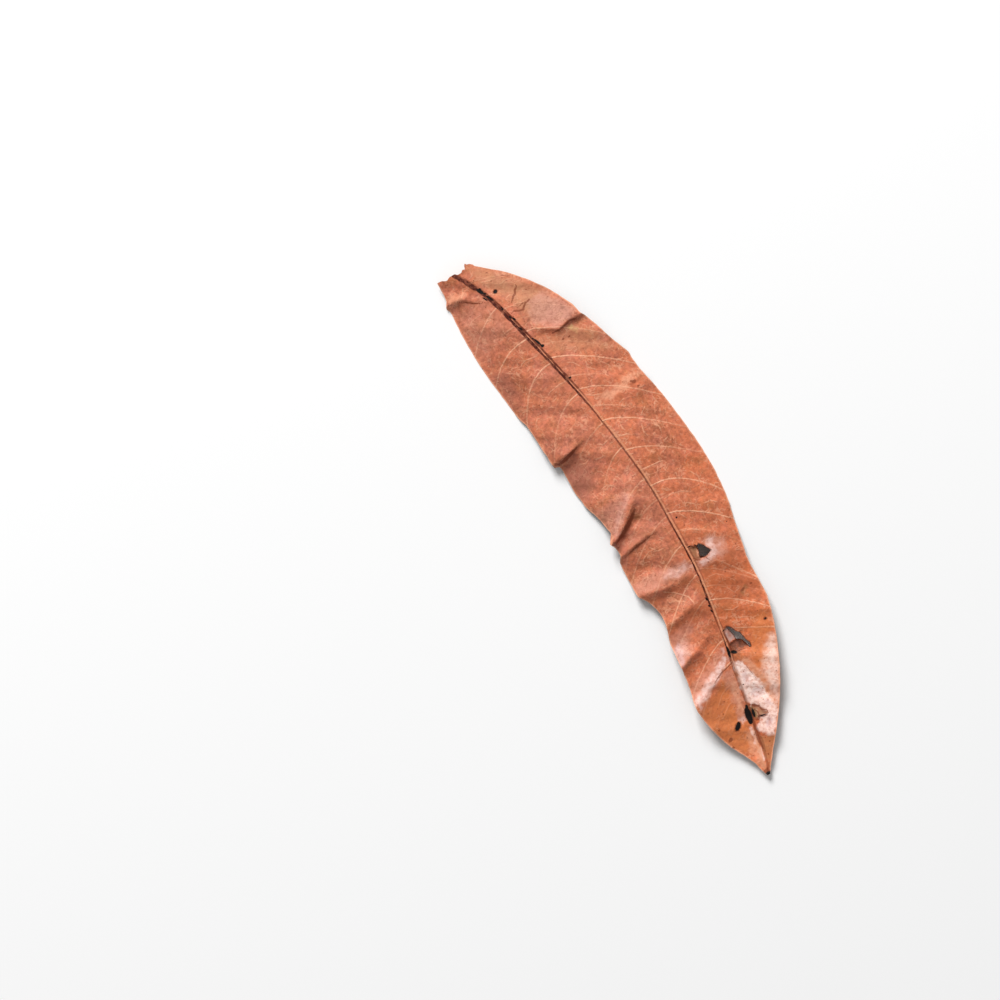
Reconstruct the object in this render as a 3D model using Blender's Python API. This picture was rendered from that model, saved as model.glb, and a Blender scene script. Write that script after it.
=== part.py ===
"""A dry autumn leaf, grown as one piece: a long blade with a midrib, folded margins and two torn holes.

The leaf lies right side up along Y, with its base at +Y, its tip at -Y and the ground at Z = 0.
Lengths are in millimetres until the finished mesh is scaled to metres.
"""

import math

import bmesh
import bpy
import numpy as np

MM = 0.001  # metres in a millimetre

# The blade's edges and midrib, as (distance from the base, sideways place). The distance runs down to the tip.
BASE_Y = 1.2
TIP_Y = -164.3
LEFT_EDGE = [
    (1.4, -5.6), (-5.0, -6.2), (-6.3, -7.1), (-7.3, -6.6), (-14.0, -7.45), (-24.0, -7.8), (-36.0, -7.1),
    (-49.0, -5.6), (-59.8, -5.4), (-61.2, -3.9), (-69.0, -4.3), (-74.0, -3.8), (-80.0, -2.3), (-85.3, -1.8),
    (-86.0, -3.6), (-89.9, -2.85), (-95.0, -4.4), (-102.5, -4.9), (-106.5, -2.9), (-110.5, -2.1),
    (-119.0, -4.3), (-129.0, -5.7), (-136.5, -7.6), (-141.0, -7.75), (-149.0, -6.3), (-155.0, -3.9),
    (-160.0, -1.75), (-164.3, -0.8),
]
RIGHT_EDGE = [
    (0.6, 5.6), (-3.0, 9.1), (-9.4, 15.0), (-16.7, 20.0), (-24.8, 23.5), (-27.5, 23.9), (-29.4, 25.0),
    (-37.0, 27.3), (-43.6, 29.5), (-49.0, 29.7), (-60.0, 31.4), (-76.0, 32.5), (-86.0, 32.1), (-94.0, 30.8),
    (-106.0, 27.8), (-112.0, 26.6), (-120.0, 26.1), (-130.0, 23.1), (-145.0, 15.4), (-155.0, 7.9),
    (-160.0, 3.5), (-164.3, 0.1),
]
MIDRIB = [
    (1.0, -0.4), (-5.5, 2.9), (-11.7, 5.0), (-30.0, 8.6), (-55.0, 12.8), (-78.0, 14.4), (-100.0, 13.2),
    (-125.0, 9.2), (-146.0, 4.8), (-164.2, -0.4),
]
# The ragged end where the stalk broke off, as (sideways place, distance from the base)
BROKEN_END = [
    (-5.6, 1.4), (-3.0, 0.5), (-0.4, 0.9), (1.5, 0.3), (2.9, 0.5), (3.7, 1.8), (4.6, 1.2), (5.6, 0.4),
]
BROKEN_DEPTH = 2.5  # how far down the blade the ragged end still shifts the rows

# The grid's rows follow the side veins, which bend towards the tip on their way to the left and right edges.
LEFT, RIGHT = -1, 1
VEIN_DROP = {LEFT: 12.0, RIGHT: 12.5}  # how much nearer the tip a vein is at the edge than at the midrib
VEIN_BEND = {LEFT: 1.8, RIGHT: 1.45}
DROP_GROWS_OVER = 40.0
DROP_FADES_OVER = 52.0

# Heights of the underside above the ground along the midrib and both edges, as (distance, height)
MIDRIB_HEIGHT = [
    (0.0, 3.9), (-20.0, 5.2), (-50.0, 6.2), (-75.0, 6.4), (-95.0, 5.8), (-112.0, 4.6), (-128.0, 2.6),
    (-140.0, 0.8), (-147.0, -0.5), (-153.0, -0.5), (-164.3, 1.3),
]
LEFT_HEIGHT = [
    (0.0, 1.6), (-12.0, -0.9), (-30.0, -1.1), (-44.0, 0.7), (-75.0, 1.5), (-98.0, 1.0), (-112.0, 2.1),
    (-126.0, 3.0), (-142.0, 3.8), (-154.0, 2.2), (-164.3, 1.4),
]
RIGHT_HEIGHT = [
    (0.0, 3.4), (-14.0, 3.0), (-30.0, 2.1), (-48.0, 0.3), (-58.0, -1.5), (-84.0, -1.6), (-94.0, 0.0),
    (-108.0, 1.8), (-124.0, 3.6), (-140.0, 5.0), (-152.0, 3.4), (-164.3, 1.4),
]
EDGE = {LEFT: LEFT_EDGE, RIGHT: RIGHT_EDGE}
EDGE_HEIGHT = {LEFT: LEFT_HEIGHT, RIGHT: RIGHT_HEIGHT}
GROUND = 0.0  # the blade lies flat wherever its underside would dip below this
ROOF_CURVE = 1.6  # the blade falls away from the midrib slowly at first
CHANNEL_CURVE = 1.15  # near the tip its halves rise from the midrib nearly straight
CHANNEL_FROM = -112.0
CHANNEL_TO = -138.0

# Folds across the blade: (outer end, inner end, height, width towards the base, width towards the tip)
FOLDS = [
    ((-7.0, -5.0), (2.5, -9.6), 0.8, 3.5, 1.2),
    ((24.5, -26.2), (8.5, -23.2), 1.0, 6.0, 1.6),
    ((-5.6, -58.6), (7.5, -57.4), 1.5, 5.0, 1.5),
    ((-2.2, -86.2), (13.0, -74.5), 1.9, 7.5, 2.2),
    ((-3.4, -90.2), (11.5, -89.0), 1.3, 3.2, 1.6),
    ((-5.0, -103.4), (12.8, -104.0), 1.3, 5.0, 3.0),
    ((-2.6, -113.2), (11.5, -109.5), 1.0, 4.5, 3.0),
    ((-5.2, -124.4), (9.0, -120.6), 1.5, 6.0, 3.2),
    ((-7.8, -137.2), (7.8, -129.6), 1.4, 5.5, 4.0),
    ((28.5, -52.4), (15.0, -51.0), 0.5, 4.0, 7.0),
    ((12.4, -150.5), (9.8, -131.0), -0.7, 2.8, 3.6),
]
FOLD_SHARPNESS = 1.4
FOLD_STEEPNESS = 1.6

# A faint uneven swell over the whole blade: (height, length along, length across, shift)
SWELLS = [(0.22, 19.0, 31.0, 0.4), (0.14, 8.3, 13.0, 2.1), (0.08, 5.1, 7.7, 4.0)]

BLADE_THICKNESS = 0.4
RIDGE_DEPTH = (1.2, 0.25)  # how far the midrib stands out below the blade, at the base and at the tip
RIDGE_WIDTH = (1.5, 0.7)
CHANNEL_DEPTH = (0.3, 0.1)  # the groove over the midrib
CHANNEL_WIDTH = (0.9, 0.5)

# Torn holes, each as its outline seen from above
HOLES = {
    "upper_hole_cutter": [
        (16.6, -99.2), (17.8, -99.2), (18.4, -101.0), (19.3, -102.5), (17.2, -103.0), (15.9, -102.3),
    ],
    "lower_hole_cutter": [
        (11.7, -123.2), (12.5, -123.5), (13.3, -126.0), (14.1, -126.8), (14.8, -130.4), (14.3, -131.2),
        (13.9, -129.3), (11.8, -127.2),
    ],
}
CUTTER_HEIGHT = 30.0

ROWS = 84
COLUMNS = 18
COLUMN_CROWDING = 1.6  # columns stand closer together near the midrib


def clear_scene():
    for old in list(bpy.data.objects):
        bpy.data.objects.remove(old, do_unlink=True)


def new_collection(name):
    collection = bpy.data.collections.new(name)
    bpy.context.scene.collection.children.link(collection)
    return collection


def smooth(points, at):
    """A smooth curve through the points, without overshoot, read at one place."""
    places, values = np.array(sorted(points)).T
    at = min(max(at, places[0]), places[-1])
    gaps = np.diff(places)
    slopes = np.diff(values) / gaps
    tangents = np.concatenate([slopes[:1], np.zeros(len(gaps) - 1), slopes[-1:]])
    same_way = np.flatnonzero(slopes[:-1] * slopes[1:] > 0)
    near = 2 * gaps[1:] + gaps[:-1]
    far = gaps[1:] + 2 * gaps[:-1]
    for i in same_way:
        tangents[i + 1] = (near[i] + far[i]) / (near[i] / slopes[i] + far[i] / slopes[i + 1])
    i = min(int(np.searchsorted(places, at, side="right")) - 1, len(gaps) - 1)
    t = (at - places[i]) / gaps[i]
    start = (1 + 2 * t) * (1 - t) ** 2 * values[i] + t * (1 - t) ** 2 * gaps[i] * tangents[i]
    end = t * t * (3 - 2 * t) * values[i + 1] - t * t * (1 - t) * gaps[i] * tangents[i + 1]
    return float(start + end)


def ramp(value, start, end):
    """0 before start, 1 after end, and a soft step between."""
    t = min(max((value - start) / (end - start), 0.0), 1.0)
    return t * t * (3 - 2 * t)


def tapered(pair, y):
    """A value that runs evenly from the base's to the tip's."""
    t = (BASE_Y - y) / (BASE_Y - TIP_Y)
    return pair[0] + (pair[1] - pair[0]) * t


def fold_height(x, y):
    total = 0.0
    for outer, inner, height, base_side, tip_side in FOLDS:
        length = math.dist(outer, inner)
        run_x = (outer[0] - inner[0]) / length
        run_y = (outer[1] - inner[1]) / length
        along = (x - inner[0]) * run_x + (y - inner[1]) * run_y
        off = (y - inner[1]) * abs(run_x) - (x - inner[0]) * run_y * math.copysign(1.0, run_x)
        width = base_side if off > 0 else tip_side
        fade = ramp(along, 0.0, 0.75 * length)
        total += height * fade * math.exp(-FOLD_STEEPNESS * (abs(off) / width) ** FOLD_SHARPNESS)
    return total


def swell_height(x, y):
    return sum(
        height * math.sin(2 * math.pi * (y / along + x / across) + shift)
        for height, along, across, shift in SWELLS
    )


def place(across, along):
    """Where a point of the flat grid lies seen from above."""
    side = LEFT if across < 0 else RIGHT
    out = abs(across) ** COLUMN_CROWDING
    y_mid = BASE_Y + (TIP_Y - BASE_Y) * along
    drop = VEIN_DROP[side] * ramp(-y_mid, 0.0, DROP_GROWS_OVER) * ramp(y_mid, TIP_Y, TIP_Y + DROP_FADES_OVER)
    x_mid = smooth(MIDRIB, y_mid)
    x_edge = smooth(EDGE[side], y_mid - drop)
    x = x_mid + (x_edge - x_mid) * out
    y = y_mid - drop * out ** VEIN_BEND[side]
    y += (smooth(BROKEN_END, x) - BASE_Y) * math.exp(-(BASE_Y - y_mid) / BROKEN_DEPTH)
    return side, x, y


def underside(side, x, y):
    """How high the blade's lower face would stand if the ground didn't flatten it."""
    x_mid = smooth(MIDRIB, y)
    out = min((x - x_mid) / (smooth(EDGE[side], y) - x_mid), 1.0)
    out = max(out, 0.0)
    middle = smooth(MIDRIB_HEIGHT, y)
    curve = ROOF_CURVE + (CHANNEL_CURVE - ROOF_CURVE) * ramp(y, CHANNEL_FROM, CHANNEL_TO)
    plain = middle + (smooth(EDGE_HEIGHT[side], y) - middle) * out**curve
    return plain + fold_height(x, y) + swell_height(x, y) * ramp(out, 0.0, 0.3)


def hump(distance, width):
    """A rounded rise, one wide at its foot on each side of the middle."""
    return math.cos(min(abs(distance) / width, 1.0) * math.pi / 2) ** 2


def build_blade():
    """The grid takes the leaf's outline and height, then is extruded down to its underside."""
    bm = bmesh.new()
    bmesh.ops.create_grid(bm, x_segments=COLUMNS, y_segments=ROWS, size=1.0)
    thickness = bm.verts.layers.float.new("thickness")
    for vert in bm.verts:
        side, x, y = place(vert.co.x, (1.0 - vert.co.y) / 2)
        from_midrib = x - smooth(MIDRIB, y)
        blade_bottom = max(underside(side, x, y), GROUND)
        groove = tapered(CHANNEL_DEPTH, y) * hump(from_midrib, tapered(CHANNEL_WIDTH, y))
        ridge = tapered(RIDGE_DEPTH, y) * hump(from_midrib, tapered(RIDGE_WIDTH, y))
        top = blade_bottom + BLADE_THICKNESS - groove
        vert.co = (x, y, top)
        vert[thickness] = BLADE_THICKNESS - groove + ridge
    lower = bmesh.ops.extrude_face_region(bm, geom=bm.faces[:], use_keep_orig=True)
    for vert in lower["geom"]:
        if isinstance(vert, bmesh.types.BMVert):
            vert.co.z = max(vert.co.z - vert[thickness], GROUND)
    bmesh.ops.recalc_face_normals(bm, faces=bm.faces)
    return bm


def centre_on_ground(bm):
    """Moves the leaf so that the middle of its box's bottom is the origin, and returns the shift."""
    low = [min(vert.co[axis] for vert in bm.verts) for axis in range(3)]
    high = [max(vert.co[axis] for vert in bm.verts) for axis in range(3)]
    shift = (-(low[0] + high[0]) / 2, -(low[1] + high[1]) / 2, -low[2])
    bmesh.ops.translate(bm, verts=bm.verts, vec=shift)
    return shift


def to_object(bm, name, collection):
    bmesh.ops.scale(bm, verts=bm.verts, vec=(MM, MM, MM))
    mesh = bpy.data.meshes.new(name)
    bm.to_mesh(mesh)
    bm.free()
    made = bpy.data.objects.new(name, mesh)
    collection.objects.link(made)
    return made


def build_cutter(name, outline, shift, collection):
    """A straight-sided prism on a hole's outline, tall enough to pass through the blade."""
    bm = bmesh.new()
    corners = [bm.verts.new((x, y, -CUTTER_HEIGHT / 2)) for x, y in outline]
    floor = bm.faces.new(corners)
    walls = bmesh.ops.extrude_face_region(bm, geom=[floor], use_keep_orig=True)
    raised = [item for item in walls["geom"] if isinstance(item, bmesh.types.BMVert)]
    bmesh.ops.translate(bm, verts=raised, vec=(0, 0, CUTTER_HEIGHT))
    bmesh.ops.translate(bm, verts=bm.verts, vec=(shift[0], shift[1], 0))
    bmesh.ops.recalc_face_normals(bm, faces=bm.faces)
    cutter = to_object(bm, name, collection)
    cutter.hide_render = True
    cutter.display_type = "WIRE"
    return cutter


def dry_blade_material():
    material = bpy.data.materials.new("dry_blade")
    material.use_nodes = True
    shader = material.node_tree.nodes["Principled BSDF"]
    shader.inputs["Base Color"].default_value = (0.49, 0.20, 0.12, 1)
    shader.inputs["Roughness"].default_value = 0.45
    shader.inputs["Metallic"].default_value = 0.0
    return material


def main():
    clear_scene()
    leaf_parts = new_collection("autumn_leaf")
    cutters = new_collection("cutters")
    blade = build_blade()
    shift = centre_on_ground(blade)
    leaf = to_object(blade, "leaf", leaf_parts)
    leaf.data.materials.append(dry_blade_material())
    leaf.data.shade_smooth()
    for name, outline in HOLES.items():
        hole = leaf.modifiers.new(name, "BOOLEAN")
        hole.operation = "DIFFERENCE"
        hole.solver = "EXACT"
        hole.object = build_cutter(name, outline, shift, cutters)


main()
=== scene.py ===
import math

import bmesh
import bpy
import numpy as np
from mathutils import Matrix, Vector, noise


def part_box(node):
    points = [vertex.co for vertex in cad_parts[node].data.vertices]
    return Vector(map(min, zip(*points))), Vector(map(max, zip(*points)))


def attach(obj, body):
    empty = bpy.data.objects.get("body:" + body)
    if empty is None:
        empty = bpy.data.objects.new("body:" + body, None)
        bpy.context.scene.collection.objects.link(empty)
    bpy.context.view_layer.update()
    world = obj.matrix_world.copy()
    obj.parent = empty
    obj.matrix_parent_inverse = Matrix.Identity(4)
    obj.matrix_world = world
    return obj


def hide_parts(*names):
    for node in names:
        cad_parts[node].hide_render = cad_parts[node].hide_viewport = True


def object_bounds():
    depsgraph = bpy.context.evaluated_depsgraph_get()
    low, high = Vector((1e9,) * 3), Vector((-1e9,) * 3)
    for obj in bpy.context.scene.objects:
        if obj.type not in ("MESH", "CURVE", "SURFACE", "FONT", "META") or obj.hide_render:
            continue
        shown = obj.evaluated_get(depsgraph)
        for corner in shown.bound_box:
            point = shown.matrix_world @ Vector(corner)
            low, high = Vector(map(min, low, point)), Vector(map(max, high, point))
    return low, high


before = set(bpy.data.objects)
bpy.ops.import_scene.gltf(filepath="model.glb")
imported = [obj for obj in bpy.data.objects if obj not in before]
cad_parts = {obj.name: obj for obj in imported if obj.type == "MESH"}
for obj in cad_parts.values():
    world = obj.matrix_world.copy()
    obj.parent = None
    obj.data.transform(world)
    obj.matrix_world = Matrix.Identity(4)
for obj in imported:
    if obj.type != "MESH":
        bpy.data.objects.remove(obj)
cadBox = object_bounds()
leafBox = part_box("leaf")
mm = 0.001
print("frame loaded:", sorted(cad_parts))


# small helpers, all on whole arrays of vertices

def curve(points, at):
    # a smooth curve through (place, value) pairs, without overshoot
    places, values = np.array(sorted(points), float).T
    at = np.clip(np.asarray(at, float), places[0], places[-1])
    gaps = np.diff(places)
    slopes = np.diff(values) / gaps
    tangents = np.concatenate([slopes[:1], np.zeros(len(gaps) - 1), slopes[-1:]])
    near = 2 * gaps[1:] + gaps[:-1]
    far = gaps[1:] + 2 * gaps[:-1]
    for i in np.flatnonzero(slopes[:-1] * slopes[1:] > 0):
        tangents[i + 1] = (near[i] + far[i]) / (near[i] / slopes[i] + far[i] / slopes[i + 1])
    i = np.clip(np.searchsorted(places, at, side="right") - 1, 0, len(gaps) - 1)
    t = (at - places[i]) / gaps[i]
    start = (1 + 2 * t) * (1 - t) ** 2 * values[i] + t * (1 - t) ** 2 * gaps[i] * tangents[i]
    end = t * t * (3 - 2 * t) * values[i + 1] - t * t * (1 - t) * gaps[i] * tangents[i + 1]
    return start + end


def ramp(value, start, end):
    # from 0 to 1 between start and end, easing in and out
    t = np.clip((value - start) / (end - start), 0, 1)
    return t * t * (3 - 2 * t)


def hump(distance, width):
    return np.cos(np.minimum(np.abs(distance) / width, 1) * math.pi / 2) ** 2


def noiseField(x, y, size, seed):
    # soft noise from -1 to 1, with lumps about this many millimetres across
    roughness, finer, octaves = 0.9, 2.1, 3
    return np.array([
        noise.fractal(Vector((a / size, b / size, seed)), roughness, finer, octaves) for a, b in zip(x, y)
    ])


def toPath(x, y, path):
    # distance to a line of points, how far along it the nearest place is (0 to 1), and the side it lies on
    path = np.array(path, float)
    steps = np.diff(path, axis=0)
    lengths = np.hypot(*steps.T)
    before = np.concatenate([[0], np.cumsum(lengths)])
    nearest = np.full(x.shape, 1e9)
    along = np.zeros(x.shape)
    side = np.ones(x.shape)
    for (px, py), (dx, dy), length, done in zip(path, steps, lengths, before):
        t = np.clip(((x - px) * dx + (y - py) * dy) / length**2, 0, 1)
        distance = np.hypot(x - px - t * dx, y - py - t * dy)
        closer = distance < nearest
        nearest = np.where(closer, distance, nearest)
        along = np.where(closer, (done + t * length) / before[-1], along)
        side = np.where(closer, np.sign(dx * (y - py) - dy * (x - px)), side)
    return nearest, along, side


def inside(x, y, outline):
    # even-odd test against a closed outline
    result = np.zeros(x.shape, bool)
    for (ax, ay), (bx, by) in zip(outline, outline[1:] + outline[:1]):
        if ay != by:
            crossing = (ay > y) != (by > y)
            result ^= crossing & (x < (bx - ax) * (y - ay) / (by - ay) + ax)
    return result


def shapeDistance(x, y, outline):
    # below 0 inside the outline, above 0 outside it
    distance, _, _ = toPath(x, y, outline + outline[:1])
    return np.where(inside(x, y, outline), -distance, distance)


# the leaf blade, laid out in millimetres: y runs from its broken stalk end (0) down to its tip

blade = {
    "baseY": 1.2,
    "tipY": -164.3,
    "rows": 452,
    "columns": 104,
    "crowding": 1.3,  # columns stand closer near the midrib
    # both edges and the midrib, as (y, sideways place)
    "leftEdge": [
        (1.4, -5.6), (-4.2, -6.15), (-5.6, -7.1), (-6.6, -7.35), (-7.2, -6.75), (-10, -7.05), (-14, -7.45),
        (-19, -7.7), (-24, -7.8), (-30, -7.55), (-36, -7.1), (-42.5, -6.55), (-46, -5.75), (-49, -5.6),
        (-57, -5.55), (-59.7, -5.5), (-60.5, -4), (-61.6, -3.9), (-66, -4.15), (-69, -4.3), (-71.5, -4),
        (-74, -3.8), (-77, -2.9), (-80, -2.3), (-84.9, -1.8), (-85.5, -2.9), (-86.2, -3.7), (-87.6, -3.1),
        (-89.9, -2.75), (-91.3, -3.3), (-92, -4.1), (-95, -4.4), (-99, -4.75), (-102.7, -4.9),
        (-104.3, -3.9), (-106.5, -2.9), (-110.5, -2.1), (-113.5, -2.5), (-119, -4.3), (-123, -4.9),
        (-129, -5.7), (-133, -6.6), (-136.5, -7.6), (-138.4, -7.9), (-141, -7.75), (-145, -7.2),
        (-149, -6.3), (-152, -5.3), (-155, -3.9), (-158, -2.6), (-160, -1.85), (-162.4, -1.4),
        (-164.3, -0.8),
    ],
    "rightEdge": [
        (0.6, 5.6), (-3, 9.1), (-6, 12.2), (-9.4, 15), (-12.6, 17.4), (-16.7, 20), (-20.6, 21.9),
        (-24.8, 23.5), (-26.9, 23.8), (-27.6, 24.3), (-29.4, 25), (-33, 26.2), (-37, 27.3), (-41, 28.7),
        (-43.6, 29.5), (-45, 29.4), (-49, 29.7), (-55, 30.8), (-60, 31.4), (-68, 32.1), (-76, 32.5),
        (-82, 32.45), (-86, 32.1), (-90, 31.6), (-94, 30.8), (-100, 29.2), (-106, 27.8), (-109, 27),
        (-112, 26.6), (-120, 26.1), (-125, 24.9), (-130, 23.1), (-137, 19.9), (-145, 15.4), (-150, 11.9),
        (-155, 7.9), (-160, 3.5), (-162.5, 1.4), (-164.3, 0.1),
    ],
    "midrib": [
        (1, -0.4), (-5.5, 2.9), (-11.7, 5), (-30, 8.6), (-55, 12.8), (-78, 14.4), (-100, 13.2), (-125, 9.2),
        (-146, 4.8), (-164.2, -0.4),
    ],
    # the ragged end where the stalk broke off, as (sideways place, y)
    "brokenEnd": [
        (-5.6, 1.4), (-4.4, 1.2), (-3, 0.5), (-1.8, 0.9), (-0.4, 0.9), (0.6, 0.2), (1.5, 0.2), (2.3, 0.7),
        (2.9, 0.5), (3.3, 1.4), (3.7, 1.8), (4.2, 1.3), (4.6, 1.2), (5.6, 0.4),
    ],
    "brokenDepth": 2.5,
    "thickness": 0.4,
    "edgeThickness": 0.22,
    "edgeThinning": 1.6,  # the last stretch, over which the blade thins to its margin
    "leastThickness": 0.05,
    "edgeWobble": (0.1, 1.9, 3),  # how far the margin wanders, size of its lumps, seed
    "edgeWobbleFrom": 0.9,
    "sharpFrom": 50,  # edges steeper than this many degrees stay sharp
}

# Side veins of each half, from the base down: (start on the midrib, how far it drops by the margin,
# how late it bends, how plain it is at the midrib, how plain it is at the margin)
veins = {
    "left": [
        (4, 3, 1.5, 0, 0), (-4.4, 5, 1.8, 0.3, 0.2), (-9.4, 5.5, 2, 0.25, 0.1),
        (-13.4, 8.5, 1.7, 0.6, 0.45), (-20.4, 3, 2, 0.55, 0), (-25.2, 7, 2.6, 0.95, 0.5),
        (-30.4, 10, 2.7, 0.25, 0), (-34.5, 11.5, 2.4, 1, 0.45), (-41, 14, 2.6, 0.35, 0),
        (-45.8, 14, 2.1, 0.95, 0.2), (-51.3, 12, 2, 0.2, 0), (-56.4, 10, 1.7, 0.55, 0.2),
        (-60.8, 14, 2, 0.2, 0), (-65, 15, 1.8, 1, 0.15), (-70.6, 14, 2, 0.25, 0),
        (-75.7, 12, 1.8, 0.5, 0.25), (-82.6, 13, 2, 0.4, 0.2), (-88, 11, 1.7, 0.35, 0.3),
        (-91.8, 12, 1.9, 0.2, 0), (-97, 10, 1.6, 0.85, 0.35), (-101.8, 11, 2, 0.3, 0.1),
        (-106.2, 10.5, 1.5, 0.75, 0.45), (-113.2, 9.5, 1.4, 0.5, 0.3), (-119, 9, 1.5, 0.15, 0),
        (-125.6, 9, 1.5, 0.75, 0.5), (-132, 9, 1.7, 0.7, 0.4), (-138.5, 8, 1.6, 0.25, 0.25),
        (-145, 6, 1.5, 0.15, 0.1), (-152, 4, 1.5, 0.1, 0), (-170, 0, 1.5, 0, 0),
    ],
    "right": [
        (4, 6, 1.4, 0, 0), (-3.6, 8, 1.3, 0.3, 0.3), (-9, 9.5, 1.4, 0.2, 0.15),
        (-14.6, 10.5, 1.5, 0.35, 0.3), (-18.9, 11.5, 1.5, 0.2, 0.1), (-23.2, 12.5, 1.5, 0.75, 0.35),
        (-28.4, 13.5, 1.5, 0.25, 0.1), (-33.1, 14, 1.4, 0.95, 0.5), (-40.3, 14, 1.5, 0.5, 0),
        (-44.8, 14, 1.55, 0.85, 0.45), (-50.8, 15, 1.3, 0.5, 0.1), (-55.8, 14.3, 1.45, 1, 0.4),
        (-61.6, 14, 1.4, 0.45, 0), (-66.2, 12.5, 1.5, 1, 0.25), (-73.2, 12.5, 1.8, 0.4, 0),
        (-78.4, 12, 2.2, 1, 0.55), (-82.7, 11.5, 2, 0.35, 0), (-87.3, 11.2, 1.5, 1, 0.6),
        (-93, 12, 1.7, 0.4, 0.1), (-98.2, 17.6, 1.06, 0.1, 0.75), (-105, 12, 1.5, 0.3, 0.3),
        (-110.2, 10, 1.4, 0.5, 0.1), (-114.2, 10.5, 1.5, 0.95, 0.6), (-119.6, 9.5, 1.4, 0.2, 0),
        (-122.6, 7.4, 1.08, 0.2, 0.85), (-130, 8, 1.4, 0.15, 0.2), (-137, 6.5, 1.5, 0.1, 0.3),
        (-144, 5, 1.5, 0, 0.2), (-152, 3.5, 1.5, 0, 0), (-170, 0, 1.5, 0, 0),
    ],
    "growFromBase": 9,  # they reach their full drop this far down
    "fadeTowardsTip": 14,  # and straighten out over the last stretch
    "fading": (1, 3.2),  # how quickly one fades that is plain to the margin, and one that is not
    "leastPlain": 0.05,
    "ownRowFrom": 0.3,  # veins plainer than this get a row of the grid to themselves
    "widestSpacing": 60,
}

# How the blade stands above the ground: (y, height of its underside)
arch = {
    "midrib": [
        (0, 3.9), (-20, 5.2), (-50, 6.2), (-75, 6.4), (-95, 5.7), (-112, 4.2), (-128, 2), (-140, 0.9),
        (-147, 0.25), (-153, 0.25), (-164.3, 1.4),
    ],
    "left": [
        (0, 1.6), (-12, -0.9), (-30, -1.1), (-44, 0.7), (-75, 1.5), (-98, 1), (-112, 2.1), (-126, 3),
        (-142, 3.8), (-154, 2.2), (-164.3, 1.4),
    ],
    "right": [
        (0, 3.4), (-14, 3), (-30, 2.1), (-48, 0.3), (-58, -1.5), (-84, -1.6), (-94, 0), (-108, 1.8),
        (-124, 3.6), (-140, 4.3), (-152, 3), (-164.3, 1.4),
    ],
    "roofCurve": 1.6,  # the section bulges like a roof, and like a channel towards the tip
    "channelCurve": 1.15,
    "channelFrom": -112,
    "channelTo": -138,
    # (height, length along the leaf, length across it, shift)
    "swells": [(0.22, 19, 31, 0.4), (0.14, 8.3, 13, 2.1), (0.08, 5.1, 7.7, 4)],
    "swellsFullAt": 0.3,
    "crumple": [(0.11, 3.4, 11), (0.05, 1.3, 23)],  # (height, size, seed)
    "crumpleFrom": (0.02, 0.2),
    # folds: (crest from the margin inwards, height, width to the base side, width to the tip side)
    "folds": [
        ([(-7.4, -5.4), (-3, -6), (2.5, -9.8)], 1, 3.5, 1),
        ([(25.6, -27.3), (20, -27), (16.4, -27.6), (13.5, -25.8), (8.4, -23)], 1.6, 6, 1.1),
        ([(-6, -59.2), (-1, -58.8), (4, -57.7), (8, -57.2)], 2.1, 8, 0.9),
        ([(-5, -71), (3, -69), (11, -66)], -1.4, 9, 7),
        ([(-2.4, -86.4), (2, -84), (5.5, -81.5), (13, -74.5)], 2.7, 8, 1.9),
        ([(-3.6, -90.9), (1.4, -90.1), (12, -89)], 1.6, 2.5, 1.1),
        ([(-4.6, -97.5), (12, -97)], -0.7, 4.5, 4),
        ([(-5.2, -102.6), (1, -104.4), (6, -105.2), (12.8, -105)], 2, 4.8, 2.8),
        ([(-2.6, -114.2), (3.5, -113.4), (11.5, -111)], 1.6, 3.2, 3),
        ([(-5.6, -126), (1, -124.2), (9, -121.2)], 2.4, 5, 2.6),
        ([(-8, -137.6), (0, -134.6), (7.8, -130.6)], 2, 4.8, 5.5),
        ([(30, -53.6), (22, -52.4), (14, -51)], 1.2, 4.5, 7),
        ([(29, -44.5), (20, -43), (13, -41)], -0.6, 5, 4),
        ([(12.4, -150.5), (9.8, -131)], -0.8, 2.8, 3.4),
    ],
    "foldSharpness": 1.4,
    "foldSteepness": 1.6,
    "foldFades": 0.75,  # over this share of its crest, at the inner end
}

midribShape = {
    "ridgeDepth": (1.2, 0.25),  # below the blade, at the base and at the tip
    "ridgeWidth": (1.5, 0.7),
    "grooveDepth": (0.34, 0.12),
    "grooveWidth": (0.75, 0.45),
    "cordHeight": (0.2, 0.08),  # the rounded rib that stands in the groove
    "cordWidth": (0.32, 0.22),
    "cordFrom": (10, 16),
    "veinRidge": 0.2,  # side veins stand out below
    "veinRidgeWidth": 0.55,
    "veinGroove": 0.05,
}

# Torn holes, as outlines seen from above
holes = {
    "upper": [
        (16.6, -99.2), (17.3, -98.95), (17.9, -99.6), (18.3, -100.3), (18.8, -101.4), (19.35, -102.5),
        (18.5, -102.75), (17.4, -103.05), (16.6, -102.9), (15.85, -102.3), (16, -101.5), (16.5, -100.4),
        (16.4, -99.8),
    ],
    "lower": [
        (11.6, -122.9), (12.2, -123.3), (12.7, -124.2), (13.1, -125.4), (13.9, -126.2), (14.1, -127.5),
        (14.25, -128.7), (14.8, -130.2), (14.5, -131.2), (14.1, -130.9), (13.9, -129.6), (13.5, -128.4),
        (12.9, -127.7), (12.1, -127.2), (12.2, -126), (12, -125), (11.8, -124),
    ],
}
holeReach = {"rows": 12, "rimAcross": 4, "rimAlong": 7}  # where a hole's faces and its rim are looked for


def veinPlace(side, startY):
    # the vein-row that starts here on the midrib: its number, its drop, its bend and its plainness
    table = np.array(veins[side], float)[::-1]
    number = np.interp(startY, table[:, 0], np.arange(len(table))[::-1])
    return number, [np.interp(startY, table[:, 0], table[:, column]) for column in (1, 2, 3, 4)]


def both(across, left, right):
    return np.where(across < 0, left, right)


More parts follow.
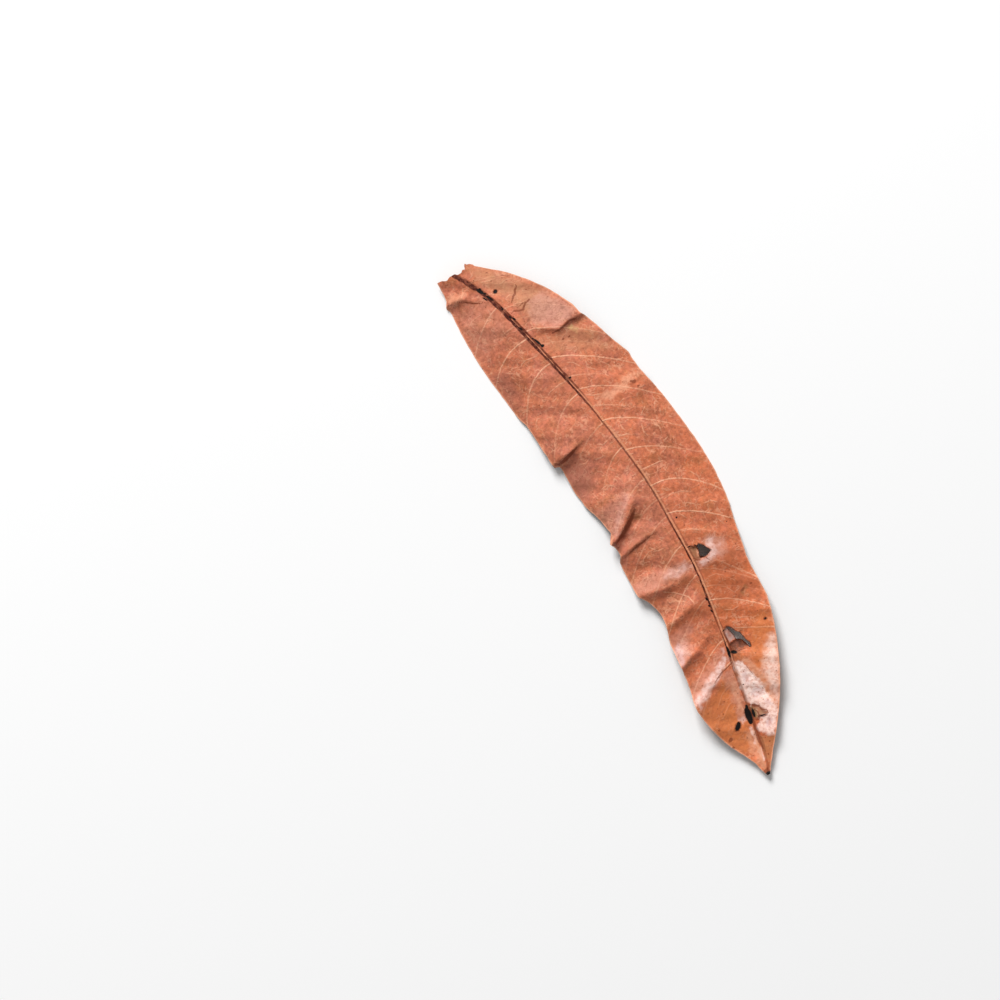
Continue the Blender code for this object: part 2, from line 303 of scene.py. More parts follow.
def layOut(across, startY):
    # moves a flat grid onto the outline, its rows following the side veins
    leftNumber, leftWay = veinPlace("left", startY)
    rightNumber, rightWay = veinPlace("right", startY)
    drop, bend, plainIn, plainOut = [both(across, l, r) for l, r in zip(leftWay, rightWay)]
    drop = drop * ramp(startY, blade["tipY"], blade["tipY"] + veins["fadeTowardsTip"])
    drop = drop * ramp(-startY, -blade["baseY"], veins["growFromBase"])
    out = np.abs(across) ** blade["crowding"]
    midX = curve(blade["midrib"], startY)
    edgeX = edgeAt(across, startY - drop)
    x = midX + (edgeX - midX) * out
    y = startY - drop * out**bend
    torn = curve(blade["brokenEnd"], x) - blade["baseY"]
    y += torn * np.exp(-(blade["baseY"] - startY) / blade["brokenDepth"])
    slowest, quickest = veins["fading"]
    lasting = np.clip(plainOut / np.maximum(plainIn, veins["leastPlain"]), 0, 1)
    quickness = quickest + (slowest - quickest) * lasting
    plain = plainOut + (plainIn - plainOut) * (1 - out) ** quickness
    return x, y, out, both(across, leftNumber, rightNumber), plain


def edgeAt(across, y):
    return both(across, curve(blade["leftEdge"], y), curve(blade["rightEdge"], y))


def tapered(pair, y):
    t = (blade["baseY"] - y) / (blade["baseY"] - blade["tipY"])
    return pair[0] + (pair[1] - pair[0]) * t


def foldHeight(x, y):
    total = np.zeros(x.shape)
    for crest, height, baseWidth, tipWidth in arch["folds"]:
        distance, along, side = toPath(x, y, crest)
        towardsBase = side * math.copysign(1.0, crest[-1][0] - crest[0][0]) > 0
        width = np.where(towardsBase, baseWidth, tipWidth)
        profile = np.exp(-arch["foldSteepness"] * (distance / width) ** arch["foldSharpness"])
        total += height * ramp(1 - along, 0, arch["foldFades"]) * profile
    return total


def swellHeight(x, y):
    return sum(
        height * np.sin(2 * math.pi * (y / along + x / across) + shift)
        for height, along, across, shift in arch["swells"]
    )


def archHeight(across, x, y):
    midX = curve(blade["midrib"], y)
    out = np.clip((x - midX) / (edgeAt(across, y) - midX), 0, 1)
    middle = curve(arch["midrib"], y)
    edge = both(across, curve(arch["left"], y), curve(arch["right"], y))
    channel = ramp(y, arch["channelFrom"], arch["channelTo"])
    bend = arch["roofCurve"] + (arch["channelCurve"] - arch["roofCurve"]) * channel
    plain = middle + (edge - middle) * out**bend
    return plain + foldHeight(x, y) + swellHeight(x, y) * ramp(out, 0, arch["swellsFullAt"])


def rowPlaces():
    # evenly spaced rows, with the nearest one moved onto the start of each plain side vein
    places = np.linspace(blade["baseY"], blade["tipY"], blade["rows"] + 1)
    taken = set()
    for side in ("left", "right"):
        for start, _, _, plainIn, _ in veins[side]:
            nearest = int(np.argmin(np.abs(places - start)))
            free = not ({nearest - 1, nearest, nearest + 1} & taken)
            if plainIn > veins["ownRowFrom"] and free and 0 < nearest < len(places) - 1:
                places[nearest] = start
                taken.add(nearest)
    return places


print("shape described")


# Lines along the midrib: (y, place beside its middle, half width, strength), from the base down
ribLines = {
    "paleCord": [
        (1.2, 0, 0.2, 0), (-11, 0.1, 0.15, 0.2), (-16, 0, 0.15, 0.3), (-24, 0.12, 0.16, 0.6),
        (-36, 0.3, 0.18, 0.6), (-48, 0.3, 0.2, 0.6), (-56, 0.42, 0.25, 0.75), (-70, 0.44, 0.25, 0.65),
        (-88, 0.36, 0.24, 0.65), (-95, 0.42, 0.24, 0.8), (-110, 0.58, 0.24, 0.85), (-124, 0.45, 0.24, 0.75),
        (-131, 0.1, 0.26, 0.6), (-140, 0, 0.24, 0.35), (-150, -0.5, 0.3, 0.35), (-156, -0.7, 0.5, 0.8),
        (-164.3, -0.5, 0.3, 0.3),
    ],
    "darkMain": [
        (1.2, -0.35, 0.62, 1), (-5, -0.5, 0.65, 1), (-10, -0.38, 0.44, 1), (-18, -0.36, 0.46, 1),
        (-26, -0.3, 0.42, 1), (-36, -0.14, 0.36, 1), (-45, -0.2, 0.32, 1), (-53, -0.2, 0.24, 0.8),
        (-58, -0.16, 0.25, 0.72), (-80, -0.08, 0.25, 0.72), (-91, -0.18, 0.24, 0.85), (-98, 0.02, 0.22, 1),
        (-106, 0.06, 0.24, 1), (-113, -0.04, 0.28, 1), (-119, -0.06, 0.2, 0.7), (-123.5, 0, 0.18, 0.5),
        (-128, -0.1, 0.26, 1), (-132, -0.3, 0.4, 0.6), (-140, -0.25, 0.5, 0.5), (-146, -0.1, 0.4, 0.6),
        (-150, 0.1, 0.4, 0.5), (-156, 0.7, 0.45, 0.4), (-164.3, 0.4, 0.3, 0.3),
    ],
    "darkSide": [
        (1.2, 0.3, 0.2, 0), (-6, 0.35, 0.2, 0.1), (-10, 0.3, 0.3, 0.8), (-16, 0.34, 0.34, 0.9),
        (-22, 0.52, 0.34, 1), (-30, 0.66, 0.32, 1), (-38, 0.66, 0.32, 0.95), (-45, 0.62, 0.26, 0.7),
        (-50, 0.6, 0.2, 0), (-60, 0.9, 0.2, 0.1), (-82, 0.85, 0.2, 0.2), (-90, 0.85, 0.25, 0.35),
        (-100, 1, 0.26, 0.55), (-108, 0.95, 0.22, 0.3), (-118, 0.82, 0.2, 0.25), (-124, 0.82, 0.22, 0.6),
        (-129, 0.8, 0.28, 0.85), (-133, 0.45, 0.2, 0.35), (-140, 0.4, 0.2, 0.15), (-152, 0.4, 0.2, 0),
        (-164.3, 0.4, 0.2, 0),
    ],
}
ribUneven = {"wander": 0.09, "swelling": 0.45, "fading": 0.3, "size": 2, "seeds": (61, 67)}

# Fine pale branches between the side veins: (strength, path)
branches = [
    (0.6, [(11.2, -142), (11.5, -145.5), (11.7, -148.8)]),
    (0.4, [(18.2, -99.1), (20.2, -99.4), (20.4, -100.7)]), (0.5, [(-2.4, -6), (-0.7, -4.7)]),
    (0.5, [(4.6, -5), (6.8, -5.8), (8.8, -6.2)]), (0.5, [(9, -8.4), (11, -8), (12.6, -8.6)]),
    (0.5, [(8, -12.6), (9.6, -12.2), (11.4, -13.4)]), (0.5, [(9, -15), (10.8, -15.6), (12.2, -16.2)]),
    (0.7, [(1.4, -105), (4.5, -107.3), (7, -110), (7.4, -112.2), (7.2, -113.8)]),
    (0.3, [(2.6, -108.6), (5, -110.6), (7, -110)]), (0.3, [(7.4, -112.2), (9, -110.2), (10.6, -109.4)]),
    (0.5, [(1.5, -31.2), (2.2, -30.5), (3.6, -30.1), (6.5, -30.7), (8, -30.7)]),
    (0.35, [(3, -28), (3.4, -29.6)]), (0.3, [(-3, -30), (-0.5, -32)]),
    (0.5, [(3.5, -41.9), (5, -41.2), (8, -40.8), (10, -41)]), (0.4, [(4, -44), (5.6, -43.5)]),
    (0.45, [(-3.4, -46.8), (-2.2, -45.6), (-1.2, -46)]), (0.4, [(-0.4, -22), (-1, -20.9), (0, -20.4)]),
    (0.3, [(2, -23), (3.4, -22.3), (4.2, -23.4)]), (0.35, [(-5, -14), (-3, -12.8), (0.4, -12.6)]),
    (0.5, [(19.3, -54.3), (20.5, -53.8), (21.6, -53.7)]),
    (0.6, [(23, -60.3), (23.9, -59.4), (25.4, -58.6)]),
    (0.6, [(14.2, -61), (15, -62), (16, -62.3), (17.8, -62.8)]), (0.5, [(14.6, -64.7), (15.7, -64.4)]),
    (0.6, [(14.5, -73), (18, -73.6), (20, -73.8), (21.8, -74.3)]), (0.6, [(24.8, -69.6), (26.2, -69.2)]),
    (0.4, [(18.2, -76.2), (19.4, -74.5)]), (0.5, [(15, -75.2), (15.7, -74.2)]),
    (0.4, [(28.5, -57.5), (29, -60)]), (0.5, [(14.4, -67.8), (15.4, -68.1)]),
    (0.5, [(14.6, -70.4), (15.8, -70.9)]), (0.5, [(14.6, -71.8), (15.4, -72.4)]),
    (0.5, [(13.2, -57.6), (14.2, -58.6)]), (0.5, [(13.6, -59.4), (14.6, -60)]),
    (0.5, [(14.8, -80.2), (16, -81)]), (0.45, [(21.8, -62), (21, -64.5), (21.6, -66.6)]),
    (0.35, [(17, -58.2), (16.4, -60.4), (17, -61.6)]), (0.35, [(26.6, -62), (27.4, -60), (28.6, -58.8)]),
    (0.4, [(24, -63.4), (25.6, -65.4), (25.2, -67.4)]), (0.4, [(13, -36.6), (14.6, -37.6), (16, -40)]),
    (0.4, [(18, -38.8), (17.4, -41), (19.4, -43)]), (0.45, [(12.6, -46.8), (14.2, -48.2), (17, -49.4)]),
    (0.35, [(21, -41), (22.8, -43.4), (22.4, -45.8)]),
    (0.45, [(15.6, -83.4), (18.6, -83.2), (21.6, -84.4), (24, -86.2)]), (0.4, [(17.2, -89), (18.4, -91.4)]),
    (0.5, [(24.6, -90.4), (26.6, -90.6), (28.4, -92.4)]), (0.45, [(15, -93.6), (18, -94.6), (20.2, -96.6)]),
    (0.4, [(20.6, -87.6), (22.4, -89.2), (22, -91.2)]), (0.4, [(26, -80.4), (27.4, -83), (27, -85.4)]),
    (0.45, [(0.6, -96.4), (2, -94.6), (4.6, -93.6)]), (0.4, [(-2, -101.4), (0.4, -99.6), (1, -97.8)]),
    (0.4, [(5, -92.6), (6.6, -94.8), (9, -95)]), (0.4, [(0.6, -62.6), (2.6, -63.4), (4.8, -62.6)]),
    (0.4, [(2, -72), (4.4, -71.6), (6, -73)]), (0.5, [(8, -60.4), (9.6, -61.6), (11.6, -61)]),
    (0.4, [(14.4, -108.4), (17, -108.8), (19, -110.8)]),
    (0.4, [(13.4, -118.4), (15.6, -119.8), (18, -119.8)]),
    (0.4, [(16, -112.4), (17.4, -113.4), (18.8, -116.4)]),
    (0.4, [(15.6, -122.4), (18.6, -124), (20.4, -126.6)]),
    (0.5, [(-2.6, -141), (0.4, -138.4), (3.4, -137.4)]),
    (0.45, [(-3.4, -144.6), (0, -142.2), (2.6, -141.4)]),
    (0.35, [(9.6, -133.6), (10.4, -136.4), (9.4, -139.4)]),
    (0.4, [(2.4, -130.8), (4.4, -129.4), (6.8, -128.8)]),
]
branchReach = 0.9  # beyond this the branches are not looked for
branchEnds = (0.12, 0.2)  # the shares of a branch over which it fades in and out

# Flaps of torn skin beside the holes: depth below the blade, where it hangs on and where it is free, outline
flaps = [
    (1, 13.8, 16.2, [(13.9, -98.5), (16.6, -99.2), (16.4, -99.8), (16.5, -100.4), (16, -101.5),
        (15.85, -102.3), (16.6, -102.9), (15.5, -103.1), (13.9, -102.8)]),
    (0.5, 9.6, 11, [(10.1, -123.3), (11.6, -122.9), (11.8, -124), (12, -125), (12.2, -126), (12.1, -127.2),
        (10.3, -127.4), (9.9, -126.6)]),
    (0.9, 9.1, 10.6, [(9.7, -127.4), (12.1, -127.2), (12.9, -127.7), (13.5, -128.4), (13.9, -129.6),
        (14.1, -130.9), (13.2, -130.5), (11.8, -130.2), (10.4, -130.4), (9.4, -129.9)]),
]
flapEdge = (-0.1, 0.3)  # the step down to a flap

# Black and brown marks: (x, y, half length, half width, turn in degrees, strength)
blackMarks = [
    (6.8, -9.3, 0.75, 0.62, 0, 1), (9.3, -27.6, 1.7, 0.42, -72, 0.9), (9.9, -29.2, 0.6, 0.5, 0, 0.9),
    (8.6, -26, 0.4, 0.3, 0, 0.7), (11.6, -40.8, 0.5, 0.4, 0, 0.9), (7.3, -21.9, 0.9, 0.35, -70, 0.6),
    (5.9, -14, 0.5, 0.25, -70, 0.5), (6.5, -17.6, 0.7, 0.3, -75, 0.6), (4.1, -8.3, 0.5, 0.35, -40, 0.6),
    (3.4, -6.5, 0.6, 0.5, -40, 0.8), (7.9, -68.1, 0.33, 0.3, 0, 0.7), (16, -89.6, 0.4, 0.36, 0, 0.7),
    (27.4, -98.1, 0.35, 0.3, 0, 0.6), (27.8, -99.3, 0.3, 0.3, 0, 0.5), (22, -126.7, 0.5, 0.45, 0, 0.6),
    (10.4, -117, 0.7, 0.3, -80, 0.8), (11, -113.4, 0.9, 0.4, -75, 0.7), (10.6, -115.4, 0.6, 0.35, -60, 0.7),
    (8.35, -129.3, 2, 0.5, 77, 0.9), (9.6, -130.1, 1.1, 0.62, -35, 0.9), (-0.6, -148.4, 1.5, 0.8, 38, 1),
    (0, -147.8, 0.7, 0.7, 0, 0.9), (3.7, -147.2, 1.1, 2.6, -10, 1), (3.2, -148.9, 0.8, 1.1, 0, 1),
    (4.5, -145, 0.5, 0.7, 0, 0.9), (5.2, -147.4, 0.5, 1.5, -14, 0.8), (6.9, -149.3, 1.7, 0.28, -14, 0.8),
    (3.2, -7, 1.5, 0.62, -62, 0.9), (4.5, -10, 1.6, 0.4, -66, 0.8), (3.3, -9.6, 1.2, 0.3, -66, 0.6),
    (5.9, -14.6, 0.4, 0.35, 0, 0.7), (7.2, -18.6, 0.8, 0.35, -70, 0.7), (12.4, -98.4, 0.2, 0.2, 0, 0.3),
    (14.6, -98.4, 0.7, 0.3, -8, 0.6), (26.3, -51, 0.35, 0.3, 0, 0.5), (7, -139.2, 0.35, 0.28, 0, 0.6),
    (-0.4, -164.1, 1.1, 0.9, 0, 0.7), (13.3, -27.7, 0.3, 0.25, 0, 0.4), (2.9, -36.6, 0.3, 0.3, 0, 0.4),
    (10.3, -123.4, 0.7, 0.25, 10, 0.6), (14.2, -130.9, 0.5, 0.35, 0, 0.7),
    (16.4, -98.9, 0.9, 0.25, -18, 0.7),
]
brownMarks = [
    (6.8, -9.3, 1.1, 0.95, 0, 0.6), (11, -16.2, 1.6, 0.3, 10, 0.5), (8.6, -15.4, 0.7, 0.3, -10, 0.45),
    (13.6, -16.4, 0.6, 0.25, 30, 0.4), (6.9, -83.7, 0.9, 0.4, -20, 0.6), (-0.5, -97.8, 0.4, 0.3, 0, 0.5),
    (25.8, -102.8, 0.3, 0.28, 0, 0.5), (25.8, -106.9, 0.33, 0.3, 0, 0.5), (23.9, -116.2, 0.55, 0.4, 0, 0.6),
    (21, -116.5, 1.1, 0.5, 20, 0.5), (22, -126.7, 0.8, 0.7, 0, 0.6), (-5.6, -146.4, 0.5, 0.45, 0, 0.7),
    (-4.3, -150.4, 1.1, 0.7, 20, 0.6), (-4.8, -152.6, 0.5, 0.5, 0, 0.5), (6.6, -145.6, 0.7, 0.4, -30, 0.6),
    (4.8, -156.5, 0.35, 0.3, 0, 0.6), (2.6, -159.4, 0.3, 0.5, 0, 0.6), (26.3, -51.2, 0.9, 0.6, 20, 0.8),
    (26.7, -52.8, 0.7, 0.4, 20, 0.7), (25.6, -50.6, 0.5, 0.4, 0, 0.6), (-0.9, -130.2, 0.33, 0.3, 0, 0.5),
    (8.6, -17.1, 0.3, 0.3, 0, 0.5), (9.6, -17.5, 0.3, 0.25, 0, 0.5), (11.4, -17.2, 0.35, 0.3, 0, 0.5),
    (-0.6, -148.4, 1.9, 1.2, 38, 0.7), (4, -147.3, 1.7, 3.2, -10, 0.6), (-0.4, -163.2, 1.2, 0.9, 0, 0.8),
    (15.8, -30.6, 0.5, 0.4, 0, 0.7), (17.6, -30.9, 0.6, 0.35, 20, 0.7), (14.8, -30, 0.35, 0.3, 0, 0.5),
    (16.6, -29.8, 0.3, 0.3, 0, 0.4), (5, -128.4, 0.3, 0.25, 0, 0.3), (12.5, -140.5, 0.25, 0.25, 0, 0.3),
]

# Thin brown strokes: (half width, strength, path). Several are painted shade in the creases of folds, as
# said where they stand
strokes = [
    (0.44, 0.75, [(12.8, -10.4), (12.4, -11.4), (11.6, -11.9), (11.2, -12.7), (10.2, -13.2), (9, -14.4)]),
    (0.4, 0.6, [(7.2, -17), (8.4, -16.6), (9.6, -17.4), (10.8, -17.7), (11.6, -16.9), (12.6, -16.4),
        (14, -16)]),
    # painted shade: the dark line in the crease below the first fold's crest
    (0.34, 0.7, [(-3.6, -6.2), (-1.8, -7.4), (-0.2, -8.8), (1.4, -9.8), (3, -10.4)]),
    (0.2, 0.5, [(2.8, -3.2), (3.3, -3.3), (3.4, -3.7), (3, -3.9), (2.7, -3.5), (2.8, -3.2)]),
    (0.2, 0.4, [(7.2, -3.4), (7.9, -3.6), (7.9, -4.3), (7.2, -4.4), (6.9, -3.9), (7.2, -3.4)]),
    (0.2, 0.5, [(10.5, -6.2), (11.2, -6.5), (11.3, -7.1), (10.7, -7.4), (10.3, -6.9), (10.5, -6.2)]),
    # painted shade: the dark lines along the crease of the fold at y -27
    (0.3, 0.3, [(9, -23.4), (11.5, -24.6), (14, -26.8)]),
    (0.42, 0.75, [(14, -27.6), (16.2, -27.9), (18, -27.6), (20, -27.1), (21.6, -27.6), (23, -27.3)]),
    # painted shade: the dark lines in the notch at y -59 and in the creases below the folds at y -86 and y
    # -91
    (0.6, 0.95, [(-5.5, -59.8), (-2.5, -59.6), (0.6, -58.9), (3.2, -58.1)]),
    (0.8, 0.6, [(-1.9, -86.8), (1.4, -85.4), (4.8, -83.4), (7.4, -81.4)]),
    (0.42, 0.6, [(-3.4, -91.6), (-0.6, -91.3), (1.6, -90.7), (5, -90.4), (9, -89.9)]),
    (0.3, 0.8, [(14, -98.3), (15, -98.5), (16.4, -99)]),
    # painted shade: the flap's shaded lower left
    (0.35, 0.35, [(14.1, -102), (14.6, -102.9), (15.6, -103.1)]),
    (0.16, 0.7, [(16.9, -103), (17.2, -103.9), (17.7, -104.8)]),
    # painted shade: the dark line below the pale band of the fold at y -134
    (0.34, 0.55, [(7.6, -132.4), (4, -133), (0, -134.6)]),
    (0.22, 0.3, [(10.2, -132.5), (10.8, -138), (11, -141.5)]),
    (0.34, 0.7, [(5.4, -144.8), (6.4, -145.9), (7.5, -146.5), (7.7, -147.9), (8.8, -148.6), (8.7, -149.7)]),
    (0.5, 0.9, [(4.6, -149.2), (5.4, -149.7), (6.2, -148.9), (7.1, -149.6), (8.2, -149.9)]),
    (0.3, 0.6, [(5.9, -146.6), (6.4, -147.8), (6, -149)]),
    (0.3, 0.85, [(9.9, -123.6), (9.8, -126), (9.4, -129.6)]),
    (0.24, 0.6, [(9.4, -130.6), (11.4, -130.5), (13.4, -130.9), (14.4, -131.1)]),
    (0.7, 0.5, [(3.9, -149.4), (3.2, -151.6), (2.5, -154.4), (2.2, -157.4)]),
]
strokeEnds = {"leastWidth": 0.35, "tapers": 0.06}

colours = {  # as they look in even light, from 0 to 255
    "rose": (195, 115, 88),
    "orange": (205, 109, 67),
    "rosy": (208, 124, 104),
    "tan": (180, 115, 73),
    "vein": (246, 186, 150),
    "peach": (232, 166, 132),
    # pale pink-white: mostly painted sheen, the pale reflection on slopes that face the light, and also the
    # pale halo round the upper hole
    "paleHaloAndSheen": (242, 204, 194),
    # whitish: a painted highlight, the glare on the slopes near the tip that face the light
    "highlightWhite": (255, 227, 216),
    # pale violet-white: a painted sheen in the glossy places
    "lilacSheen": (220, 184, 182),
    "dullRose": (174, 108, 90),
    "umber": (126, 78, 60),
    "flapTan": (166, 116, 84),
    "deepOrange": (178, 94, 58),
    "dustyPink": (206, 146, 126),
    "greyPink": (196, 160, 150),
    "oliveTan": (192, 140, 104),
    "sand": (206, 164, 112),
    "amber": (212, 124, 70),
    "cord": (230, 158, 118),
    # dark red: painted shade in the creases below fold crests
    "creaseShade": (128, 58, 40),
    "brown": (124, 58, 32),
    "ribDark": (72, 19, 5),
    "ribBrown": (104, 44, 27),
    "black": (14, 6, 4),
    "greenish": (112, 92, 52),
    "underSkin": (184, 138, 112),
    "underNet": (150, 104, 80),
    "underVein": (206, 166, 128),
}

